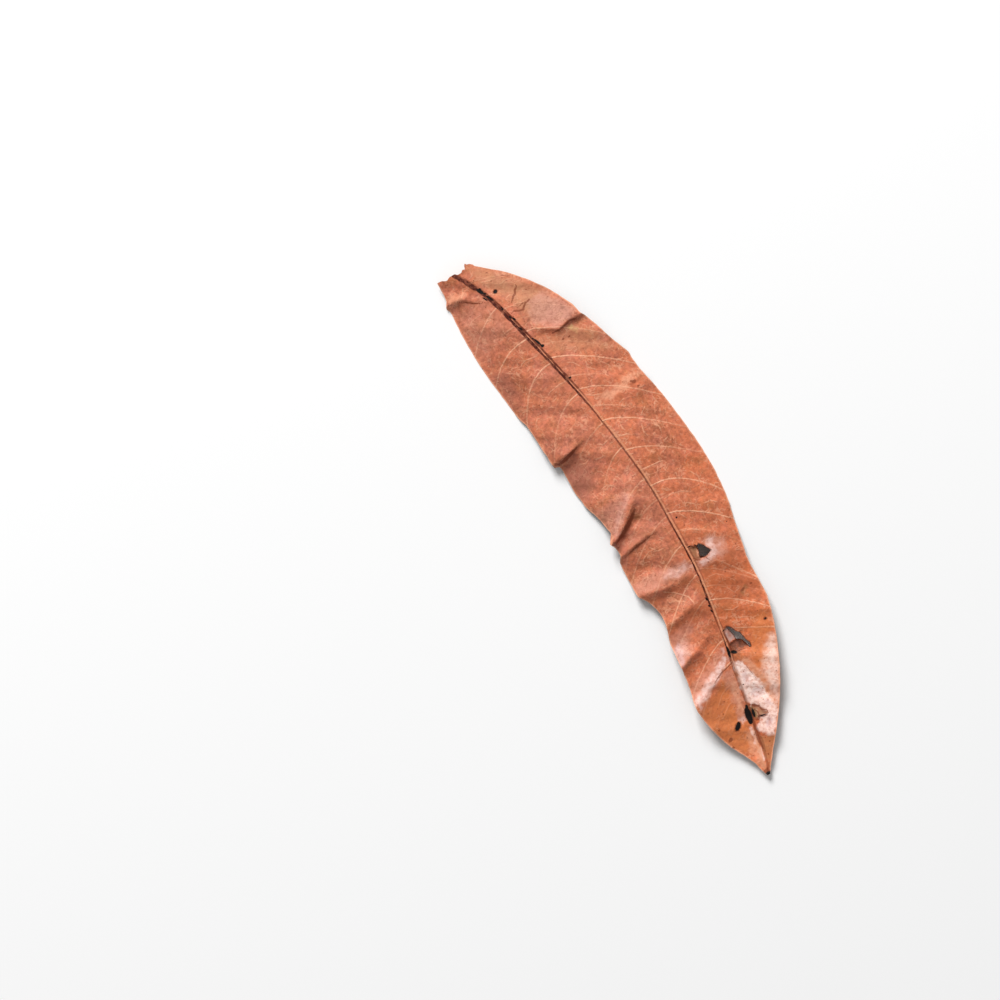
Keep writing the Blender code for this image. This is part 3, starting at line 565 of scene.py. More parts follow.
# Local colour, laid on in this order: (colour, strength, softness of its edge, outline). Some of it is
# painted light and shade, as said where it stands
tints = [
    ("dustyPink", 0.3, 5, [(-5, -8), (4, -9), (5, -20), (-7, -24), (-7, -12)]),
    ("oliveTan", 0.6, 4, [(4, 0), (8, -2), (18, -16), (20, -20), (12, -23), (9, -12), (5, -6)]),
    ("oliveTan", 0.35, 3, [(10, -28), (20, -28.5), (25, -33), (26.4, -40), (20, -37), (13, -33)]),
    ("dustyPink", 0.7, 2.4, [(13, -16.5), (18, -16), (23.4, -25), (20, -26.6), (16, -26.5), (11, -22.6)]),
    # painted highlight: the pale band on the base side of the first fold's crest, which faces the light
    ("peach", 0.5, 1, [(-6, -4), (-4, -3), (-1.4, -4.8), (-0.4, -5.4), (-2.6, -6.2), (-6, -5.6)]),
    ("sand", 0.7, 0.7, [(18.8, -28.4), (20.2, -28.2), (21, -30), (20, -30.8), (19.2, -30.4)]),
    # painted highlight: the pale band on the base side of the fold at y -52, which faces the light
    ("peach", 0.6, 1.6, [(15.5, -50), (20, -49.2), (28, -48.5), (29.5, -50), (24, -51), (18, -52)]),
    # painted shade: the darker band on the tip side of the fold at y -105
    ("deepOrange", 0.6, 1.6, [(-2, -105.4), (4, -105.6), (11, -105.6), (11, -107.4), (5, -108),
        (-1.6, -107.4)]),
    ("deepOrange", 0.5, 2.4, [(14.6, -106), (25, -105), (25.4, -118), (13.6, -118.6)]),
    # painted shade: the darker band on the tip side of the fold at y -113
    ("deepOrange", 0.5, 1.8, [(-1, -115), (9.6, -113), (10, -117.4), (2, -118.4)]),
    # painted shade: the shaded strip between the folds at y -86 and y -91
    ("dullRose", 0.4, 2.4, [(-2.4, -87.4), (6, -87.2), (10, -87.6), (5, -89.6), (-2.4, -90)]),
    # painted shade: the left half's upper slope, which faces away from the light
    ("dullRose", 0.4, 3, [(-7.2, -28), (-3, -29), (-2.4, -38), (-6.6, -40)]),
    # painted shade: the slope below the notch at y -60, which falls away from the light
    ("dullRose", 0.6, 3, [(-4.5, -61.6), (1, -61), (3, -65), (1, -71), (-4.6, -72)]),
    ("dustyPink", 0.35, 2, [(-3.2, -76), (3, -76.5), (9, -75), (4, -80), (-1.5, -85)]),
    # painted highlight: the pale line along the crest of the fold at y -86
    ("paleHaloAndSheen", 0.2, 1.6, [(-1.8, -84), (1, -81.5), (5, -78.4), (9, -75.5), (8, -77.5), (4.5, -81),
        (-1, -85.6)]),
    # painted shade: the dark red in the crease below the fold at y -86
    ("creaseShade", 0.85, 1.2, [(-3.4, -86.4), (-1.4, -85.8), (2.2, -84.8), (4.6, -83.4), (3.8, -85), (0, -87),
        (-3, -87.4)]),
    # painted shade: the dark red in the notch at y -59
    ("creaseShade", 0.5, 0.7, [(-5.6, -59.4), (-1, -59), (4.2, -57.8), (0, -59.6), (-4, -60.4)]),
    ("dustyPink", 0.5, 1.6, [(-4.4, -99), (3, -99.4), (11.4, -101), (12.4, -103.5), (8, -104), (0, -103.4),
        (-4.6, -102.4)]),
    # painted highlight: the pale patch on the base side of the fold at y -104, which faces the light
    ("paleHaloAndSheen", 0.4, 2, [(4, -102.2), (7, -101.2), (11, -101.8), (12.2, -103.3), (8, -103.8)]),
    ("dustyPink", 0.7, 1.8, [(14.2, -103), (19, -103), (18.4, -98.8), (21.4, -98.6), (24.4, -101.4),
        (23, -105.4), (17, -105.6), (14, -104.8)]),
    ("paleHaloAndSheen", 0.7, 1.2, [(18.4, -99.4), (20.6, -99.6), (21.8, -102), (20.4, -104.4), (16, -104.8),
        (14.2, -103.8), (17.6, -103.4), (19.4, -102.8)]),
    ("flapTan", 0.9, 0.3, [(14.1, -98.7), (16.5, -99.4), (16.4, -100.4), (15.9, -101.6), (15.7, -102.9),
        (14, -102.9)]),
    ("peach", 0.7, 0.5, [(15.7, -100.2), (16.4, -100.2), (15.9, -101.6), (15.6, -102.2), (15.2, -101.8)]),
    # painted shade: the dark lower left of the flap by the upper hole
    ("umber", 0.6, 0.7, [(14, -101.4), (14.8, -102.2), (15.8, -102.8), (14, -103)]),
    ("dustyPink", 0.45, 2, [(-4.4, -117), (1, -116.4), (4, -117.5), (1, -121), (-2.5, -126), (-5.6, -126)]),
    # painted sheen: the pale violet-white glossy place on the left half at y -122
    ("lilacSheen", 0.5, 1.4, [(-4.8, -120.6), (-2.6, -120), (-2.4, -122), (-3.4, -125), (-5.6, -125.8)]),
    ("paleHaloAndSheen", 0.15, 2.4, [(-4.6, -120.2), (-1, -119), (0.5, -121), (-2.5, -125), (-5.6, -125.8)]),
    # painted light and shade: the lower hole's flaps, the upper one grey-pink as if lit and the lower one
    # dark umber as if shaded
    ("greyPink", 1, 0.3, [(10.1, -123.6), (11.7, -123), (12.2, -125.3), (12.1, -127.2), (10, -127.2)]),
    ("umber", 0.6, 0.5, [(10, -123.2), (11.2, -123.1), (10.7, -124), (10.1, -124.6)]),
    ("dullRose", 0.6, 0.3, [(11, -124.4), (11.4, -124.2), (11.6, -126), (11.1, -126.2)]),
    # painted shade: the lower flap's dark umber
    ("umber", 0.95, 0.4, [(9.6, -127.5), (12.2, -127.2), (13, -127.8), (14, -129.6), (14, -130.9),
        (13.2, -130.6), (10.2, -130.6), (9.4, -129.6)]),
    ("dullRose", 0.55, 0.5, [(10.4, -127.6), (12, -127.4), (12.8, -128.4), (12, -128.8), (10.4, -128.4)]),
    ("dustyPink", 0.5, 2.4, [(-6.6, -132), (-1, -130), (6.5, -127.6), (7.4, -131), (1, -135),
        (-6.8, -138.4)]),
    # painted highlight: the pale band on the base side of the fold at y -135, which faces the light
    ("paleHaloAndSheen", 0.8, 1.2, [(-7.6, -136.4), (-1, -133), (6.4, -129.8), (6.8, -131.4), (1, -134.6),
        (-7, -138.6)]),
    ("paleHaloAndSheen", 0.5, 0.8, [(6.8, -127.4), (8, -127.2), (7.6, -128.8), (6.6, -129)]),
    ("amber", 0.7, 3, [(-7.8, -140), (3, -135.4), (5.6, -136), (3, -146), (0, -156), (-4, -156),
        (-7, -147)]),
    # painted highlight: the pale pinkish-white strip beside the midrib near the tip, which faces the light
    ("dustyPink", 0.6, 1.5, [(3.4, -133.6), (7, -133.4), (6.2, -137), (5, -142), (3.8, -146.4), (1, -148),
        (1.8, -142), (2.6, -138)]),
    ("peach", 0.5, 1.2, [(3.6, -137), (5.6, -137), (4.6, -142), (3.2, -146), (2, -145), (2.8, -141)]),
    ("paleHaloAndSheen", 0.5, 0.8, [(0.6, -147), (2.6, -146.6), (2.4, -148.2), (0.9, -148.6)]),
    ("peach", 0.6, 1.6, [(0.4, -151), (2.6, -151.4), (1.8, -156), (0.8, -161), (-0.6, -162), (-1.6, -160),
        (-1, -155)]),
    ("highlightWhite", 0.6, 0.8, [(2, -150.4), (2.9, -150.4), (2.5, -153), (1.6, -157), (0.8, -160.6),
        (0.4, -160.4), (0.9, -156)]),
    ("amber", 0.6, 2.5, [(20, -124), (24, -125), (21, -133), (14, -141), (12.4, -146), (12, -136),
        (15, -130)]),
    # painted highlight and sheen: the whitish glare and pale violet sheen on the right half near the tip,
    # which faces the light
    ("peach", 0.75, 2, [(10.4, -133), (12.4, -133), (13, -141), (12.6, -147), (11, -149)]),
    ("highlightWhite", 0.75, 1, [(7.6, -132.6), (9.8, -132.2), (11, -139), (12, -148), (12, -149.6),
        (7.2, -155.4), (5.6, -155), (4, -152.6), (3.9, -150.6), (5.6, -149.9), (5.2, -146), (6, -139.6)]),
    ("highlightWhite", 0.7, 1.2, [(7.8, -134), (9.8, -134), (11, -139), (11.6, -146), (9, -145), (6.4, -142)]),
    ("lilacSheen", 0.5, 0.8, [(8.4, -136.4), (9.6, -136), (9.2, -139), (8.2, -140.2), (7.4, -139)]),
    ("lilacSheen", 0.45, 0.8, [(7.4, -142), (10.6, -141.4), (10.8, -144), (9.2, -144.8), (7.6, -144)]),
    ("lilacSheen", 0.75, 0.8, [(6.6, -151.2), (8.4, -150.8), (8.8, -152), (7.2, -153), (6.2, -152.6)]),
    ("lilacSheen", 0.5, 0.8, [(9.4, -146), (11, -146.4), (10.8, -148.2), (9.4, -148)]),
    ("peach", 0.8, 2.4, [(22.2, -131), (19.5, -131.5), (15, -136), (12.6, -140.6), (11.8, -148.6),
        (15, -145.4), (19.8, -137)]),
    ("highlightWhite", 0.6, 3, [(21.8, -131.6), (18.6, -133), (14, -138.6), (12.2, -148), (15, -145.4),
        (19.8, -137)]),
    ("tan", 0.85, 1, [(3.2, -153.4), (5, -155), (6.6, -156), (4.4, -159.4), (1, -162.4), (2.2, -157)]),
    ("oliveTan", 0.8, 0.4, [(4.9, -145), (6.4, -145.8), (7.2, -147), (7.9, -149.2), (5, -149.2)]),
    ("greenish", 0.8, 0.6, [(4.8, -145.2), (6, -145.8), (6.1, -148), (5.2, -149.2), (4.6, -149.2)]),
    ("flapTan", 0.9, 0.3, [(5.9, -144.9), (7.2, -146.2), (7.7, -147.6), (8.9, -149.4), (7.6, -149.2),
        (6.4, -148.4), (6.6, -147.2)]),
    ("umber", 0.7, 0.5, [(5.4, -144.8), (6.8, -145.2), (7.8, -146.4), (6.8, -146.6), (6, -146)]),
    ("umber", 0.6, 0.5, [(7.2, -147), (8.2, -147.6), (8.4, -149.6), (7.6, -149)]),
    ("greenish", 0.4, 0.7, [(5.8, -83.4), (7.8, -83), (8.2, -84.2), (6.2, -84.6)]),
    ("greenish", 0.4, 0.8, [(19.8, -116.8), (22.4, -115.4), (23, -116.4), (20.6, -117.6)]),
    ("brown", 0.6, 0.8, [(-1.6, -162.4), (0.6, -162.4), (0.2, -165), (-1.2, -165)]),
]
tintEdge = {"size": 1.8, "seed": 51, "most": 1}  # how the edges of the tints wander

# Lighter and darker places, partly painted light and shade (darker below the notch at y -66, on the tip
# sides of the folds at y -106 and y -116 and on the left half's upper slope, lighter on the right half near
# the tip) and partly the leaf's own tone: (amount, x, y, half length, half width, turn in degrees)
tones = [
    (-0.24, -3, -34, 6, 6, 0), (-0.16, 22, -42, 5, 3, 0), (-0.46, 18, -23, 6, 3.5, -40),
    (-0.2, -1, -66, 5, 4, 0), (-0.18, 25, -66, 5, 5, 0), (-0.16, 4, -94.5, 6, 3.4, 0),
    (-0.1, 20, -111, 6, 5, 0), (-0.1, 24, -94, 4, 3, 0), (-0.03, 18, -35, 5, 3, 0),
    (-0.22, 5, -106.5, 7, 1.8, 0), (-0.12, 5, -116, 6, 1.6, 10), (0.12, 0, -127.4, 6, 2, 12),
    (-0.2, -3, -122, 3, 3, 20), (-0.1, 2, -110, 4, 2, 0), (0.1, 8, -5, 3, 3, 0), (-0.08, -6, -35, 2, 10, 0),
    (-0.22, 0, -80.5, 5, 4, 0), (-0.1, 20, -75, 7, 4, 0), (0.07, 10, -65, 3, 4, 0),
    (-0.1, 20, -116, 5, 3, 0), (0.08, 18, -130, 5, 3, 0), (0.18, -0.6, -159, 2.4, 4, 0),
    (-0.18, -3, -55, 5, 4, 0), (0.12, 30, -65, 2, 8, 0), (0.1, 0, -141, 5, 3, 0),
    (0.14, 15, -140, 5, 3, 50), (0.05, 5, -45, 5, 4, 0),
]

# Glossier, waxy places, given the same way
glosses = [
    (0.8, 6, -103.2, 5, 2, 0), (0.6, -3.2, -122.4, 2.6, 3, 20), (0.7, 0, -133.4, 8.5, 2.2, 22),
    (1, 8.2, -141.5, 2.5, 8.5, -8), (1, 6.6, -152.6, 2.8, 2.8, 30), (0.8, 15.5, -141, 7, 2.2, 52),
    (0.5, 3, -80.5, 7, 2.4, 35), (0.4, 20, -50.3, 6.5, 2, 12), (0.4, 3, -88.2, 5.5, 1.2, 5),
]

# How warm the skin is along the leaf, from rose at 0 to orange at 1: (y, left half, right half). The change
# from rose to orange down the leaf is its own colour; from y -40 to y -130 the left half is kept rosier than
# the right as painted sheen, the pinkish reflection on its slope
warmth = [
    (1.2, 0.35, 0.3), (-20, 0.25, 0.2), (-40, 0.25, 0.4), (-60, 0.2, 0.45), (-80, 0.2, 0.55),
    (-100, 0.3, 0.65), (-115, 0.5, 0.9), (-130, 0.65, 1), (-145, 0.95, 0.9), (-164.3, 0.8, 0.9),
]
warmthMeets = 3  # the halves pass into each other over this much on either side of the midrib


def gridMesh(name, columns, rows, size, height=0.0):
    bm = bmesh.new()
    bmesh.ops.create_grid(bm, x_segments=columns, y_segments=rows, size=size)
    bmesh.ops.translate(bm, vec=(0, 0, height), verts=bm.verts)
    mesh = bpy.data.meshes.new(name)
    bm.to_mesh(mesh)
    bm.free()
    return mesh


def addObject(name, data):
    made = bpy.data.objects.new(name, data)
    bpy.context.scene.collection.objects.link(made)
    return made


def turnedDistance(x, y, spotX, spotY, length, width, turn):
    # distance from a turned oval's middle, 1 on its edge
    cosine, sine = math.cos(math.radians(turn)), math.sin(math.radians(turn))
    along = (x - spotX) * cosine + (y - spotY) * sine
    off = -(x - spotX) * sine + (y - spotY) * cosine
    return np.hypot(along / length, off / width)


def strongest(x, marks):
    # above 0 inside a mark, up to its strength in the middle, and down to -1 outside
    result = np.full(x.shape, -1.0)
    for away, strength in marks:
        result = np.maximum(result, np.where(away < 1, strength * (1 - away), 1 - away))
    return result


def spotField(x, y, spots):
    return strongest(x, ((turnedDistance(x, y, *spot[:5]), spot[5]) for spot in spots))


def strokeField(x, y):
    marks = []
    for width, strength, path in strokes:
        distance, along, _ = toPath(x, y, path)
        least, tapers = strokeEnds["leastWidth"], strokeEnds["tapers"]
        thin = width * (least + (1 - least) * np.sin(np.pi * np.clip(along, tapers, 1 - tapers)))
        marks.append((distance / thin, strength))
    return strongest(x, marks)


def branchField(x, y):
    # signed distance to the nearest fine branch, and how strongly it shows here
    nearest = np.full(x.shape, branchReach)
    strengths = np.zeros(x.shape)
    for strength, path in branches:
        distance, along, side = toPath(x, y, path)
        closer = distance < np.abs(nearest)
        nearest = np.where(closer, distance * side, nearest)
        shown = strength * ramp(along, 0, branchEnds[0]) * ramp(1 - along, 0, branchEnds[1])
        strengths = np.where(closer, shown, strengths)
    return nearest, strengths


def linear(name):
    values = np.array(colours[name]) / 255
    return np.where(values <= 0.04045, values / 12.92, ((values + 0.055) / 1.055) ** 2.4)


def layTints(x, y):
    # local colour, some of it painted light and shade, and how much of it there is
    paint = np.zeros((len(x), 3))
    amount = np.zeros(len(x))
    wander = noiseField(x, y, tintEdge["size"], tintEdge["seed"])
    for name, strength, softness, outline in tints:
        distance = shapeDistance(x, y, outline) + wander * min(softness, tintEdge["most"])
        share = strength * (1 - ramp(distance, -0.5 * softness, 0.5 * softness))
        paint = paint * (1 - share)[:, None] + linear(name) * share[:, None]
        amount = 1 - (1 - amount) * (1 - share)
    return paint / np.maximum(amount, 1e-4)[:, None], amount


def layOvals(x, y, ovals):
    return sum(amount * np.exp(-turnedDistance(x, y, *oval) ** 2) for amount, *oval in ovals)


def perMillimetre(values, x, y, row, column):
    # millimetres across the rows for each whole step of the values
    shape = (blade["rows"] + 1, blade["columns"] + 1)
    gridX, gridY, gridV = np.zeros(shape), np.zeros(shape), np.zeros(shape)
    gridX[row, column], gridY[row, column], gridV[row, column] = x, y, values
    alongRow = np.stack([np.gradient(gridX, axis=1), np.gradient(gridY, axis=1)])
    acrossRow = np.stack([np.gradient(gridX, axis=0), np.gradient(gridY, axis=0)])
    area = np.abs(alongRow[0] * acrossRow[1] - alongRow[1] * acrossRow[0])
    step = area / np.maximum(np.hypot(*alongRow), 1e-6)
    size = step / np.maximum(np.abs(np.gradient(gridV, axis=0)), 1e-6)
    return np.clip(size, 0, veins["widestSpacing"])[row, column]


def bladeHeights(across, x, y, out, fields):
    # the top and the underside of the blade
    rib, rimDistance, plain = fields["ribOffset"], fields["rimDistance"], fields["veinPlain"]
    crumple = sum(height * noiseField(x, y, size, seed) for height, size, seed in arch["crumple"])
    bottom = archHeight(across, x, y) + crumple * ramp(out, *arch["crumpleFrom"])
    sunk = np.zeros(len(x))
    for depth, fixedX, freeX, outline in flaps:
        reach = ramp(-shapeDistance(x, y, outline), *flapEdge)
        sunk = np.maximum(sunk, depth * ramp(x, fixedX, freeX) * reach)
    bottom = np.maximum(bottom - sunk, 0)
    thinning = blade["thickness"] - blade["edgeThickness"]
    thickness = blade["edgeThickness"] + thinning * ramp(rimDistance, 0, blade["edgeThinning"])
    number = fields["veinNumber"]
    veinOff = np.abs(number - np.rint(number)) * fields["veinSpacing"]
    veinRise = plain * hump(veinOff, midribShape["veinRidgeWidth"])
    groove, cord, ridge = [
        tapered(midribShape[height], y) * hump(rib, tapered(midribShape[width], y))
        for height, width in (
            ("grooveDepth", "grooveWidth"), ("cordHeight", "cordWidth"), ("ridgeDepth", "ridgeWidth"),
        )
    ]
    cord = cord * ramp(-y, *midribShape["cordFrom"])
    top = bottom + thickness - groove + cord - midribShape["veinGroove"] * veinRise
    low = np.maximum(bottom - ridge - midribShape["veinRidge"] * veinRise, 0)
    return top, low


def ribFields(x, y, rib):
    # for each line along the midrib: how many half widths away it is, and its strength
    fields = {}
    wander, swelling = [noiseField(x, y, ribUneven["size"], seed) for seed in ribUneven["seeds"]]
    for name, points in ribLines.items():
        place, width, strength = [curve([(p[0], p[i]) for p in points], y) for i in (1, 2, 3)]
        width = width * (1 + ribUneven["swelling"] * swelling)
        fields[name] = (rib - place - ribUneven["wander"] * wander) / width
        fields[name + "Strength"] = strength * (1 - ribUneven["fading"] * np.abs(wander))
    return fields


def markFields(x, y, rib):
    branch, branchStrength = branchField(x, y)
    warmLeft, warmRight = [curve([(p[0], p[i]) for p in warmth], y) for i in (1, 2)]
    return {
        "branch": branch,
        "branchStrength": branchStrength,
        "tearDistance": np.minimum(*[np.abs(shapeDistance(x, y, outline)) for outline in holes.values()]),
        "blackField": spotField(x, y, blackMarks),
        # brown marks and strokes; some strokes are painted shade in fold creases
        "brownField": np.maximum(spotField(x, y, brownMarks), strokeField(x, y)),
        # the tones, partly painted light and shade
        "toneField": layOvals(x, y, tones),
        "glossField": np.clip(layOvals(x, y, glosses), 0, 1),
        # warmth; the difference between the halves is partly painted sheen
        "warmField": warmLeft + (warmRight - warmLeft) * ramp(rib, -warmthMeets, warmthMeets),
    }


def buildBlade():
    # the upper side, with everything that the materials read stored on its points
    mesh = gridMesh("leafBlade", blade["columns"], blade["rows"], 1.0)
    flat = np.zeros(len(mesh.vertices) * 3)
    mesh.vertices.foreach_get("co", flat)
    across, down = flat[0::3], -flat[1::3]
    row = np.rint((1 + down) / 2 * blade["rows"]).astype(int)
    column = np.rint((across + 1) / 2 * blade["columns"]).astype(int)
    x, y, out, number, plain = layOut(across, rowPlaces()[row])
    wobble, size, seed = blade["edgeWobble"]
    outwards = wobble * noiseField(x, y, size, seed) * ramp(out, blade["edgeWobbleFrom"], 1)
    x = x + both(across, -outwards, outwards)

    rib = x - curve(blade["midrib"], y)
    edges = [toPath(x, y, [(ex, ey) for ey, ex in blade[edge]])[0] for edge in ("leftEdge", "rightEdge")]
    onMargin = (column == 0) | (column == blade["columns"])
    fields = {
        "veinNumber": number,
        "veinSpacing": perMillimetre(number, x, y, row, column),
        "veinPlain": plain,
        "ribOffset": rib,
        "rimDistance": np.where(onMargin, 0, np.minimum(*edges)),
        **ribFields(x, y, rib),
        **markFields(x, y, rib),
    }
    top, fields["lowHeight"] = bladeHeights(across, x, y, out, fields)
    places = np.stack([x, y, top], axis=1)
    mesh.vertices.foreach_set("co", places.astype(np.float32).ravel())
    for name, values in fields.items():
        layer = mesh.attributes.new(name, "FLOAT", "POINT")
        layer.data.foreach_set("value", values.astype(np.float32))
    # local colour, some of it painted light and shade
    paint, amount = layTints(x, y)
    layer = mesh.attributes.new("paintColour", "FLOAT_COLOR", "POINT")
    layer.data.foreach_set("color", np.column_stack([paint, amount]).astype(np.float32).ravel())
    return mesh


def tearHoles(bm):
    # takes the faces out of each hole and draws its rim onto the torn outline
    for outline in holes.values():
        middle = np.mean(outline, axis=0)
        near = [f for f in bm.faces if abs(f.calc_center_median().y - middle[1]) < holeReach["rows"]]
        centres = np.array([f.calc_center_median()[:2] for f in near])
        gone = inside(centres[:, 0], centres[:, 1], outline)
        bmesh.ops.delete(bm, geom=[f for f, g in zip(near, gone) if g], context="FACES")
        loose = [v for v in bm.verts if not v.link_faces]
        bmesh.ops.delete(bm, geom=loose, context="VERTS")
        for vert in bm.verts:
            offX, offY = abs(vert.co.x - middle[0]), abs(vert.co.y - middle[1])
            if vert.is_boundary and offX < holeReach["rimAcross"] and offY < holeReach["rimAlong"]:
                vert.co.x, vert.co.y = nearestOn(vert.co.x, vert.co.y, outline)


def nearestOn(x, y, outline):
    best = None
    for (ax, ay), (bx, by) in zip(outline, outline[1:] + outline[:1]):
        t = ((x - ax) * (bx - ax) + (y - ay) * (by - ay)) / ((bx - ax) ** 2 + (by - ay) ** 2)
        t = min(max(t, 0.0), 1.0)
        place = (ax + t * (bx - ax), ay + t * (by - ay))
        distance = math.dist(place, (x, y))
        if best is None or distance < best[0]:
            best = (distance, place)
    return best[1]


def finishBlade(mesh, upper, under):
    # tears the holes, gives the blade its underside and its margin, and puts it where the leaf lies
    bm = bmesh.new()
    bm.from_mesh(mesh)
    tearHoles(bm)
    lowHeight = bm.verts.layers.float["lowHeight"]
    underneath = bm.verts.layers.float.new("underneath")
    lower = bmesh.ops.extrude_face_region(bm, geom=bm.faces[:], use_keep_orig=True)
    for vert in lower["geom"]:
        if isinstance(vert, bmesh.types.BMVert):
            vert.co.z = min(vert[lowHeight], vert.co.z - blade["leastThickness"])
            vert[underneath] = 1.0
    bmesh.ops.recalc_face_normals(bm, faces=bm.faces)
    for face in bm.faces:
        face.smooth = True
        face.material_index = 1 if all(v[underneath] > 0.5 for v in face.verts) else 0
    shift = [0.0, 0.0, leafBox[0][2]]
    for axis in (0, 1):
        values = [v.co[axis] for v in bm.verts]
        middle = (min(values) + max(values)) / 2 * mm
        shift[axis] = (leafBox[0][axis] + leafBox[1][axis]) / 2 - middle
    bmesh.ops.scale(bm, vec=(mm, mm, mm), verts=bm.verts)
    bmesh.ops.translate(bm, vec=shift, verts=bm.verts)
    bm.to_mesh(mesh)
    bm.free()
    mesh.set_sharp_from_angle(angle=math.radians(blade["sharpFrom"]))
    mesh.materials.append(upper)
    mesh.materials.append(under)
    return addObject("leafBlade", mesh)


# node helpers

def fill(tree, made, inputs):
    # links the sockets among the inputs and sets the rest
    for name, value in inputs.items():
        if isinstance(value, bpy.types.NodeSocket):
            tree.links.new(value, made.inputs[name])
        else:
            made.inputs[name].default_value = value
    return made.outputs


def put(tree, kind, inputs=None, **settings):
    made = tree.nodes.new("ShaderNode" + kind)
    for name, value in settings.items():
        setattr(made, name, value)
    return fill(tree, made, inputs or {})


def calc(tree, operation, *values, clamp=False):
    return put(tree, "Math", dict(enumerate(values)), operation=operation, use_clamp=clamp)[0]


def moved(tree, vector, offset):
    return put(tree, "VectorMath", {0: vector, 1: offset}, operation="ADD")[0]


def scaled(tree, vector, amount):
    return put(tree, "VectorMath", {0: vector, "Scale": amount}, operation="SCALE")[0]


def addUp(tree, start, parts):
    # the start, plus each part times its share
    for value, share in parts:
        start = calc(tree, "MULTIPLY_ADD", value, share, start)
    return start


def between(tree, value, low, high, toLow=0.0, toHigh=1.0):
    inputs = {"Value": value, "From Min": low, "From Max": high, "To Min": toLow, "To Max": toHigh}
    return put(tree, "MapRange", inputs, interpolation_type="SMOOTHSTEP")["Result"]


def clouds(tree, place, scale, detail=2.0, rough=0.5, swirl=0.0):
    return put(tree, "TexNoise", {
        "Vector": place, "Scale": scale, "Detail": detail, "Roughness": rough, "Distortion": swirl,
    })


def cells(tree, place, size, feature, scatter=1.0):
    # cells of this size, and the distance in them
    inputs = {"Vector": place, "Scale": calc(tree, "DIVIDE", 1.0, size), "Randomness": scatter}
    found = put(tree, "TexVoronoi", inputs, feature=feature, voronoi_dimensions="2D")
    return found, calc(tree, "MULTIPLY", found["Distance"], size)


def field(tree, name):
    return put(tree, "Attribute", attribute_name=name)["Fac"]


def solid(name):
    return (*linear(name), 1.0)


def blendColour(tree, share, a, b):
    return put(tree, "Mix", {0: share, 6: a, 7: b}, data_type="RGBA")[2]


def layOver(tree, skin, mask, strength, colour):
    # lays a colour over the skin where the mask is
    return blendColour(tree, calc(tree, "MULTIPLY", mask, strength, clamp=True), skin, solid(colour))


def startGroup(name, inputs, outputs):
    group = bpy.data.node_groups.new(name, "ShaderNodeTree")
    for title, value in inputs.items():
        kind = "NodeSocketVector" if title == "Vector" else "NodeSocketFloat"
        socket = group.interface.new_socket(title, in_out="INPUT", socket_type=kind)
        socket.default_value = value
    for title in outputs:
        group.interface.new_socket(title, in_out="OUTPUT", socket_type="NodeSocketFloat")
    return group, group.nodes.new("NodeGroupInput").outputs, group.nodes.new("NodeGroupOutput").inputs


def placeGroup(tree, name, inputs):
    made = tree.nodes.new("ShaderNodeGroup")
    made.node_tree = groups[name]
    return fill(tree, made, inputs)


# shared effects, each built once

mottling = {
    # (output, the size it follows, how many times finer it is, detail, roughness)
    "layers": [
        ("Patches", "Patch Size", 1.0, 4.0, 0.6), ("Hue", "Patch Size", 2.1, 4.0, 0.65),
        ("Blotches", "Patch Size", 3.4, 5.0, 0.7), ("Grain", "Grain Size", 1.0, 2.0, 0.6),
    ],
    "apart": 3.7,  # keeps the layers from lining up
    "curlScale": 0.5,
    "curlDetail": 1.5,
    "curlSwirl": 0.9,
    "curlEdge": (0.012, 0.06),
    "curlPatchScale": 0.4,
    "curlPatchEdge": (0.46, 0.62),
}


def makeMottle():
    look = mottling
    inputs = {"Vector": (0, 0, 0), "Patch Size": 4.0, "Grain Size": 0.6}
    group, given, made = startGroup("skinMottle", inputs, ["Patches", "Hue", "Blotches", "Grain", "Threads"])
    for title, size, finer, detail, rough in look["layers"]:
        scale = calc(group, "DIVIDE", finer, given[size])
        place = moved(group, given["Vector"], (0.0, 0.0, look["apart"] * finer))
        group.links.new(clouds(group, place, scale, detail, rough)["Fac"], made[title])
    # short thin curls: the finest veins, showing here and there
    scale = calc(group, "DIVIDE", look["curlScale"], given["Grain Size"])
    curls = clouds(group, given["Vector"], scale, look["curlDetail"], swirl=look["curlSwirl"])["Fac"]
    level = calc(group, "ABSOLUTE", calc(group, "SUBTRACT", curls, 0.5))
    line = between(group, level, *look["curlEdge"], 1.0, 0.0)
    scale = calc(group, "DIVIDE", look["curlPatchScale"], given["Grain Size"])
    shown = between(group, clouds(group, given["Vector"], scale)["Fac"], *look["curlPatchEdge"])
    group.links.new(calc(group, "MULTIPLY", line, shown), made["Threads"])
    return group


def makeLine():
    # a line of even width, drawn where a distance runs through 0
    inputs = {"Distance": 1.0, "Half Width": 0.2, "Softness": 0.15}
    group, given, made = startGroup("softLine", inputs, ["Mask"])
    away = calc(group, "ABSOLUTE", given["Distance"])
    end = calc(group, "ADD", given["Half Width"], given["Softness"])
    group.links.new(between(group, away, given["Half Width"], end, 1.0, 0.0), made["Mask"])
    return group


def makeVein():
    # distance from the nearest side vein, which runs where the vein number is whole and wanders a little
    inputs = {"Vector": (0, 0, 0), "Number": 0.0, "Spacing": 5.0, "Wander": 0.5, "Wander Scale": 0.55}
    group, given, made = startGroup("sideVeins", inputs, ["Distance"])
    whole = calc(group, "ROUND", given["Number"])
    straight = calc(group, "MULTIPLY", calc(group, "SUBTRACT", given["Number"], whole), given["Spacing"])
    texture = clouds(group, given["Vector"], given["Wander Scale"], 3.0)["Fac"]
    wander = calc(group, "SUBTRACT", texture, 0.5)
    distance = calc(group, "MULTIPLY_ADD", wander, given["Wander"], straight)
    group.links.new(distance, made["Distance"])
    return group


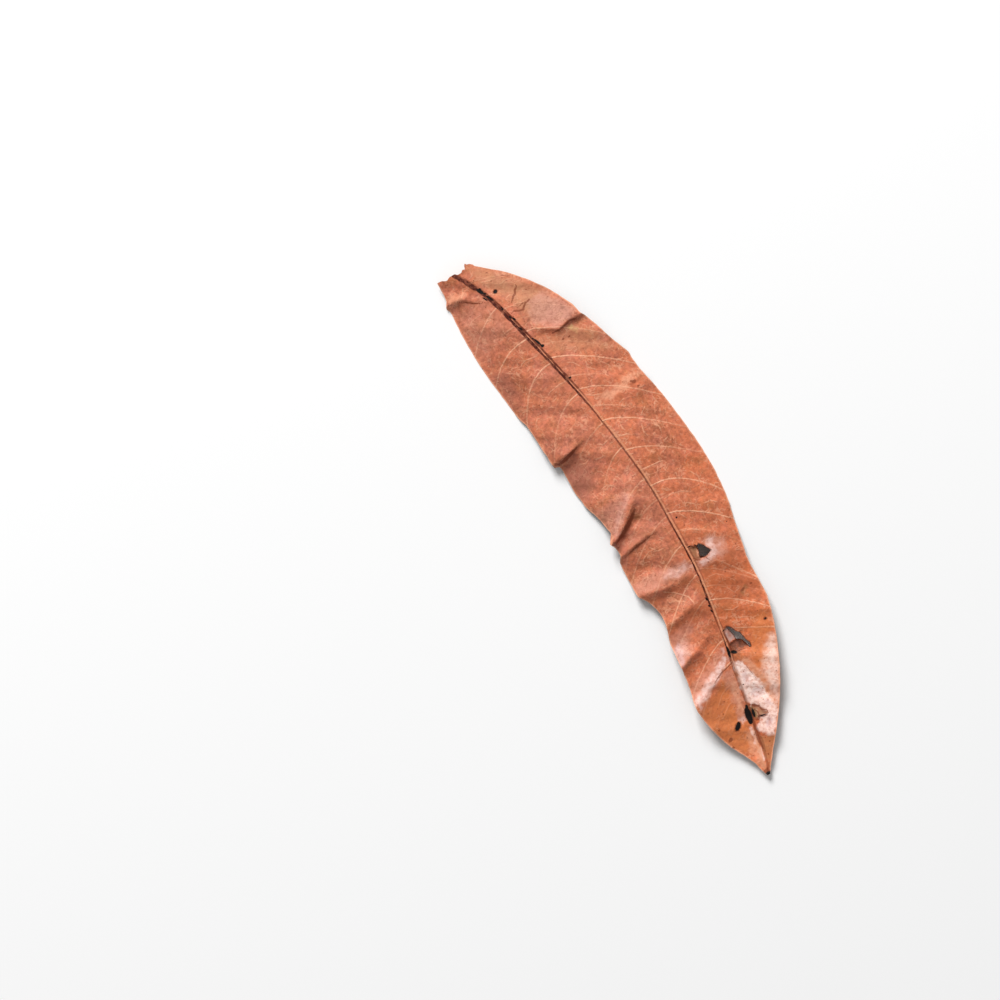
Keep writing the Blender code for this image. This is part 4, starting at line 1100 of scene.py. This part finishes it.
def makeNet():
    # the fine network between the side veins
    inputs = {
        "Vector": (0, 0, 0), "Cell Size": 1.6, "Line Width": 0.16, "Warp Scale": 0.8, "Warp": 1.1,
        "Scatter": 0.95,
    }
    group, given, made = startGroup("fineNet", inputs, ["Mask"])
    warp = clouds(group, given["Vector"], given["Warp Scale"])["Color"]
    place = moved(group, given["Vector"], scaled(group, warp, given["Warp"]))
    _, distance = cells(group, place, given["Cell Size"], "DISTANCE_TO_EDGE", given["Scatter"])
    group.links.new(between(group, distance, 0.0, given["Line Width"], 1.0, 0.0), made["Mask"])
    return group


flecking = {"raggedScale": 2.2, "ragged": 0.25, "smallest": 0.08, "softness": 0.14}


def makeFlecks():
    # scattered specks, one at most in each cell
    look = flecking
    inputs = {"Vector": (0, 0, 0), "Cell Size": 2.6, "Largest": 0.25, "Share": 0.3}
    group, given, made = startGroup("flecks", inputs, ["Mask"])
    found, distance = cells(group, given["Vector"], given["Cell Size"], "F1")
    chance = put(group, "SeparateColor", {"Color": found["Color"]})
    ragged = clouds(group, given["Vector"], look["raggedScale"])["Fac"]
    distance = calc(group, "MULTIPLY_ADD", ragged, look["ragged"], distance)
    size = calc(group, "MULTIPLY_ADD", chance["Red"], given["Largest"], look["smallest"])
    dot = between(group, calc(group, "SUBTRACT", distance, size), 0.0, look["softness"], 1.0, 0.0)
    kept = calc(group, "LESS_THAN", chance["Green"], given["Share"])
    group.links.new(calc(group, "MULTIPLY", dot, kept), made["Mask"])
    return group


def makeRagged():
    # turns a soft mark field into a spot with an uneven edge
    inputs = {
        "Vector": (0, 0, 0), "Field": 0.0, "Raggedness": 0.5, "Fineness": 1.6, "Start": -0.02, "End": 0.3,
    }
    group, given, made = startGroup("raggedSpot", inputs, ["Mask"])
    texture = clouds(group, given["Vector"], given["Fineness"], 3.0, 0.6)["Fac"]
    uneven = calc(group, "SUBTRACT", texture, 0.5)
    level = calc(group, "MULTIPLY_ADD", uneven, given["Raggedness"], given["Field"])
    group.links.new(between(group, level, given["Start"], given["End"]), made["Mask"])
    return group


groups = {
    "mottle": makeMottle(), "line": makeLine(), "vein": makeVein(), "net": makeNet(), "flecks": makeFlecks(),
    "ragged": makeRagged(),
}


def lineMask(tree, distance, widths):
    inputs = {"Distance": distance, "Half Width": widths[0], "Softness": widths[1]}
    return placeGroup(tree, "line", inputs)["Mask"]


def spotMask(tree, place, name):
    return placeGroup(tree, "ragged", {"Vector": place, "Field": field(tree, name)})["Mask"]


def startSkin(name, look):
    # what both sides share: the mottle, the side veins and the net between them
    material = bpy.data.materials.new(name)
    material.use_nodes = True
    tree = material.node_tree
    place = scaled(tree, put(tree, "TexCoord")["Object"], 1 / mm)  # in millimetres
    mottle = placeGroup(tree, "mottle", {"Vector": place, **look["mottle"]})
    distance = placeGroup(tree, "vein", {
        "Vector": place, "Number": field(tree, "veinNumber"), "Spacing": field(tree, "veinSpacing"),
        "Wander": look["veinWander"],
    })["Distance"]
    vein = calc(tree, "MULTIPLY", lineMask(tree, distance, look["veinWidths"]), field(tree, "veinPlain"))
    net = placeGroup(tree, "net", {"Vector": place, **look["net"]})["Mask"]
    return material, tree, place, mottle, vein, net


def centred(tree, mottle):
    return [calc(tree, "SUBTRACT", mottle[name], 0.5) for name in ("Patches", "Blotches", "Grain")]


def layFlecks(tree, skin, place, kinds):
    for cell, largest, share, strength in kinds:
        inputs = {"Vector": place, "Cell Size": cell, "Largest": largest, "Share": share}
        skin = layOver(tree, skin, placeGroup(tree, "flecks", inputs)["Mask"], strength, "brown")
    return skin


def finishSkin(tree, skin, rough, relief):
    # the relief is in millimetres, and finer than what the mesh holds
    bump = put(tree, "Bump", {"Height": addUp(tree, 0.0, relief), "Distance": mm, "Strength": 1.0})
    shader = tree.nodes["Principled BSDF"]
    fill(tree, shader, {"Base Color": skin, "Roughness": rough, "Normal": bump["Normal"]})
    return shader


upperLook = {
    "mottle": {"Patch Size": 8.0, "Grain Size": 0.95},
    "roughness": 0.6,
    "grainRoughness": 0.3,
    "specular": 0.2,
    "waxRoughness": 0.34,
    "wax": (0.06, 0.55),  # at rest and in the glossy places
    "warmPatches": 1.2,
    "tanned": (0.5, 0.68),
    "rosier": (0.33, 0.5),
    "rosierFades": (0.3, 1.0, 1.0, 0.3),  # where the skin is warm
    "hueContrast": 0.38,
    "patchContrast": 0.3,
    "blotches": (0.38, 0.62),
    "blotchContrast": 0.1,
    "grainContrast": 1.05,
    "veinWidths": (0.1, 0.17),  # half width and softness, here and below
    "veinWander": 0.5,
    "veinStrength": 0.9,
    "veinWear": (0.3, 0.6, 0.45, 1.1),  # how the grain wears the veins, the paint and the midrib's lines
    "paintWear": (0.3, 0.62, 0.55, 1.05),
    "ribWear": (0.25, 0.6, 0.65, 1.1),
    "branchWidths": (0.06, 0.17),
    "net": {"Cell Size": 2.9, "Line Width": 0.2},
    "netWhere": (0.45, 0.6),
    "netStrength": 0.35,
    "threadStrength": 0.5,
    "rimWidths": (0.12, 0.28),
    "rimStrength": 0.7,
    "tearWidths": (0.1, 0.3),
    "tearStrength": 0.8,
    "ribWidths": (0.7, 0.6),
    "ribColours": (("paleCord", "cord"), ("darkMain", "ribDark"), ("darkSide", "ribBrown")),
    "flecks": [(2.4, 0.2, 0.4, 0.6), (3.7, 0.6, 0.4, 0.22)],  # (cell, largest, share, strength)
    "brownStrength": 0.75,
    "relief": {"net": 0.03, "vein": 0.07, "threads": 0.03, "grain": 0.08, "blotches": 0.14},
}


def mottledSkin(tree, look, mottle, patches, grain):
    # the dry skin itself, rose to orange, blotched and grained; its warmth and tones carry painted sheen,
    # light and shade
    warm = calc(tree, "MULTIPLY_ADD", patches, look["warmPatches"], field(tree, "warmField"), clamp=True)
    skin = blendColour(tree, warm, solid("rose"), solid("orange"))
    skin = layOver(tree, skin, between(tree, mottle["Hue"], *look["tanned"]), look["hueContrast"], "tan")
    rosier = between(tree, mottle["Hue"], *look["rosier"], look["hueContrast"], 0.0)
    skin = layOver(tree, skin, rosier, between(tree, warm, *look["rosierFades"]), "rosy")
    blotched = between(tree, mottle["Blotches"], *look["blotches"], -1.0, 1.0)
    # lighter and darker by the tones, which hold painted light and shade, and by the mottle
    light = addUp(tree, calc(tree, "ADD", field(tree, "toneField"), 1.0), [
        (patches, look["patchContrast"]), (blotched, look["blotchContrast"]), (grain, look["grainContrast"]),
    ])
    return scaled(tree, skin, light)


def makeUpperSkin():
    look = upperLook
    material, tree, place, mottle, vein, net = startSkin("upperSkin", look)
    patches, blotches, grain = centred(tree, mottle)
    skin = mottledSkin(tree, look, mottle, patches, grain)

    # net, finest veins, side veins and their branches
    net = calc(tree, "MULTIPLY", net, between(tree, mottle["Blotches"], *look["netWhere"]))
    skin = layOver(tree, skin, net, look["netStrength"], "peach")
    skin = layOver(tree, skin, mottle["Threads"], look["threadStrength"], "peach")
    branch = lineMask(tree, field(tree, "branch"), look["branchWidths"])
    branch = calc(tree, "MULTIPLY", branch, field(tree, "branchStrength"))
    worn = between(tree, mottle["Grain"], *look["veinWear"])
    vein = calc(tree, "MULTIPLY", calc(tree, "MAXIMUM", vein, branch), worn)
    skin = layOver(tree, skin, vein, look["veinStrength"], "vein")

    # local colour, some of it painted light and shade, broken up by the grain
    paint = put(tree, "Attribute", attribute_name="paintColour")
    broken = between(tree, mottle["Grain"], *look["paintWear"])
    broken = calc(tree, "MULTIPLY", paint["Alpha"], broken, clamp=True)
    skin = blendColour(tree, broken, skin, paint["Color"])

    # pale line round the margin, dark line round the tears, and the midrib's lines
    rim = lineMask(tree, field(tree, "rimDistance"), look["rimWidths"])
    skin = layOver(tree, skin, rim, look["rimStrength"], "peach")
    tear = lineMask(tree, field(tree, "tearDistance"), look["tearWidths"])
    skin = layOver(tree, skin, tear, look["tearStrength"], "ribDark")
    uneven = between(tree, mottle["Grain"], *look["ribWear"])
    for name, colour in look["ribColours"]:
        line = lineMask(tree, field(tree, name), look["ribWidths"])
        line = calc(tree, "MULTIPLY", line, field(tree, name + "Strength"))
        skin = layOver(tree, skin, line, uneven, colour)

    # marks, among them brown strokes that are painted shade in fold creases
    skin = layFlecks(tree, skin, place, look["flecks"])
    brown, black = spotMask(tree, place, "brownField"), spotMask(tree, place, "blackField")
    skin = layOver(tree, skin, brown, look["brownStrength"], "brown")
    skin = layOver(tree, skin, black, 1.0, "black")

    # a dull skin under a thin natural wax, thicker in the glossy places and gone where it is marked
    rough = calc(tree, "MULTIPLY_ADD", grain, look["grainRoughness"], look["roughness"])
    relief = look["relief"]
    shader = finishSkin(tree, skin, rough, [
        (net, relief["net"]), (vein, relief["vein"]), (mottle["Threads"], relief["threads"]),
        (grain, relief["grain"]), (blotches, relief["blotches"]),
    ])
    wax = between(tree, field(tree, "glossField"), 0.0, 1.0, *look["wax"])
    bare = calc(tree, "SUBTRACT", 1.0, calc(tree, "MAXIMUM", brown, black))
    tree.links.new(calc(tree, "MULTIPLY", wax, bare), shader.inputs["Coat Weight"])
    shader.inputs["Specular IOR Level"].default_value = look["specular"]
    shader.inputs["Coat Roughness"].default_value = look["waxRoughness"]
    return material


underLook = {
    "mottle": {"Patch Size": 6.0, "Grain Size": 0.6},
    "roughness": 0.68,
    "grainRoughness": 0.2,
    "patchContrast": 0.4,
    "blotchContrast": 0.3,
    "grainContrast": 0.3,
    "veinWidths": (0.2, 0.3),
    "veinWander": 0.2,
    "veinStrength": 0.8,
    "net": {"Cell Size": 1.7, "Line Width": 0.35},
    "netStrength": 0.35,
    "ribWidths": (0.5, 0.5),
    "ribStrength": 0.85,
    "flecks": [(3.6, 0.25, 0.3, 0.6)],
    "blackStrength": 0.85,
    "relief": {"net": 0.05, "grain": 0.08},
}


def makeUnderSkin():
    look = underLook
    material, tree, place, mottle, vein, net = startSkin("underSkin", look)
    patches, blotches, grain = centred(tree, mottle)
    light = addUp(tree, 1.0, [
        (patches, look["patchContrast"]), (blotches, look["blotchContrast"]), (grain, look["grainContrast"]),
    ])
    skin = scaled(tree, solid("underSkin")[:3], light)
    skin = layOver(tree, skin, net, look["netStrength"], "underNet")
    skin = layOver(tree, skin, vein, look["veinStrength"], "underVein")
    rib = lineMask(tree, field(tree, "ribOffset"), look["ribWidths"])
    skin = layOver(tree, skin, rib, look["ribStrength"], "underVein")
    skin = layFlecks(tree, skin, place, look["flecks"])
    skin = layOver(tree, skin, spotMask(tree, place, "blackField"), look["blackStrength"], "ribDark")
    rough = calc(tree, "MULTIPLY_ADD", grain, look["grainRoughness"], look["roughness"])
    relief = look["relief"]
    finishSkin(tree, skin, rough, [(net, relief["net"]), (grain, relief["grain"])])
    return material


upperSkin = makeUpperSkin()
underSkin = makeUnderSkin()
print("skins made")
leafBlade = finishBlade(buildBlade(), upperSkin, underSkin)
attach(leafBlade, "root")
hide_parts("leaf")
print("leaf blade made:", len(leafBlade.data.polygons), "faces")


# the studio: a plain pale floor, a soft light from beyond the stalk end, and a camera straight above

studio = {
    "floorSize": 2.4,
    "floorColour": 0.93,
    "floorRoughness": 0.9,
    "floorSpecular": 0.1,
    "ambient": 0.34,
    "lightFrom": (0.16, 0.987),  # seen from above
    "lightElevation": 38.0,
    "lightDistance": 2.4,
    "lightSize": 1.0,
    "lightPower": 68.0,
    "cameraDistance": 1.6,
    "cameraTurn": -32.21,
    "cameraBeside": (-35.4, 22.0),  # where it looks, from the leaf's middle, in millimetres
    "viewWidth": 280.0,  # in millimetres
    "sensorWidth": 36.0,
    "clipStart": 0.01,
}


def makeFloor():
    mesh = gridMesh("studioFloor", 1, 1, studio["floorSize"] / 2, cadBox[0][2])
    floor = addObject("studioFloor", mesh)
    material = bpy.data.materials.new("palePaper")
    material.use_nodes = True
    shader = material.node_tree.nodes["Principled BSDF"]
    shader.inputs["Base Color"].default_value = (*[studio["floorColour"]] * 3, 1.0)
    shader.inputs["Roughness"].default_value = studio["floorRoughness"]
    shader.inputs["Specular IOR Level"].default_value = studio["floorSpecular"]
    mesh.materials.append(material)


def makeLight():
    elevation = math.radians(studio["lightElevation"])
    sideX, sideY = studio["lightFrom"]
    away = Vector((sideX * math.cos(elevation), sideY * math.cos(elevation), math.sin(elevation)))
    light = bpy.data.lights.new("softBox", "AREA")
    light.shape = "SQUARE"
    light.size = studio["lightSize"]
    light.energy = studio["lightPower"]
    lamp = addObject("softBox", light)
    facing = away.to_track_quat("Z", "Y").to_matrix().to_4x4()
    lamp.matrix_world = Matrix.Translation(away * studio["lightDistance"]) @ facing


def makeWorld():
    world = bpy.data.worlds.new("paleRoom")
    world.use_nodes = True
    background = world.node_tree.nodes["Background"]
    background.inputs["Color"].default_value = (1.0, 1.0, 1.0, 1.0)
    background.inputs["Strength"].default_value = studio["ambient"]
    bpy.context.scene.world = world


def makeCamera():
    lens = bpy.data.cameras.new("camera")
    lens.sensor_width = studio["sensorWidth"]
    lens.lens = lens.sensor_width * studio["cameraDistance"] / (studio["viewWidth"] * mm)
    lens.clip_start = studio["clipStart"]
    camera = addObject("camera", lens)
    besideX, besideY = studio["cameraBeside"]
    middle = (leafBox[0] + leafBox[1]) / 2
    camera.location = (middle.x + besideX * mm, middle.y + besideY * mm, studio["cameraDistance"])
    camera.rotation_euler = (0, 0, math.radians(studio["cameraTurn"]))
    bpy.context.scene.camera = camera


makeFloor()
makeLight()
makeWorld()
makeCamera()
bpy.context.scene.view_settings.view_transform = "Standard"
print("studio set")

bpy.context.view_layer.update()
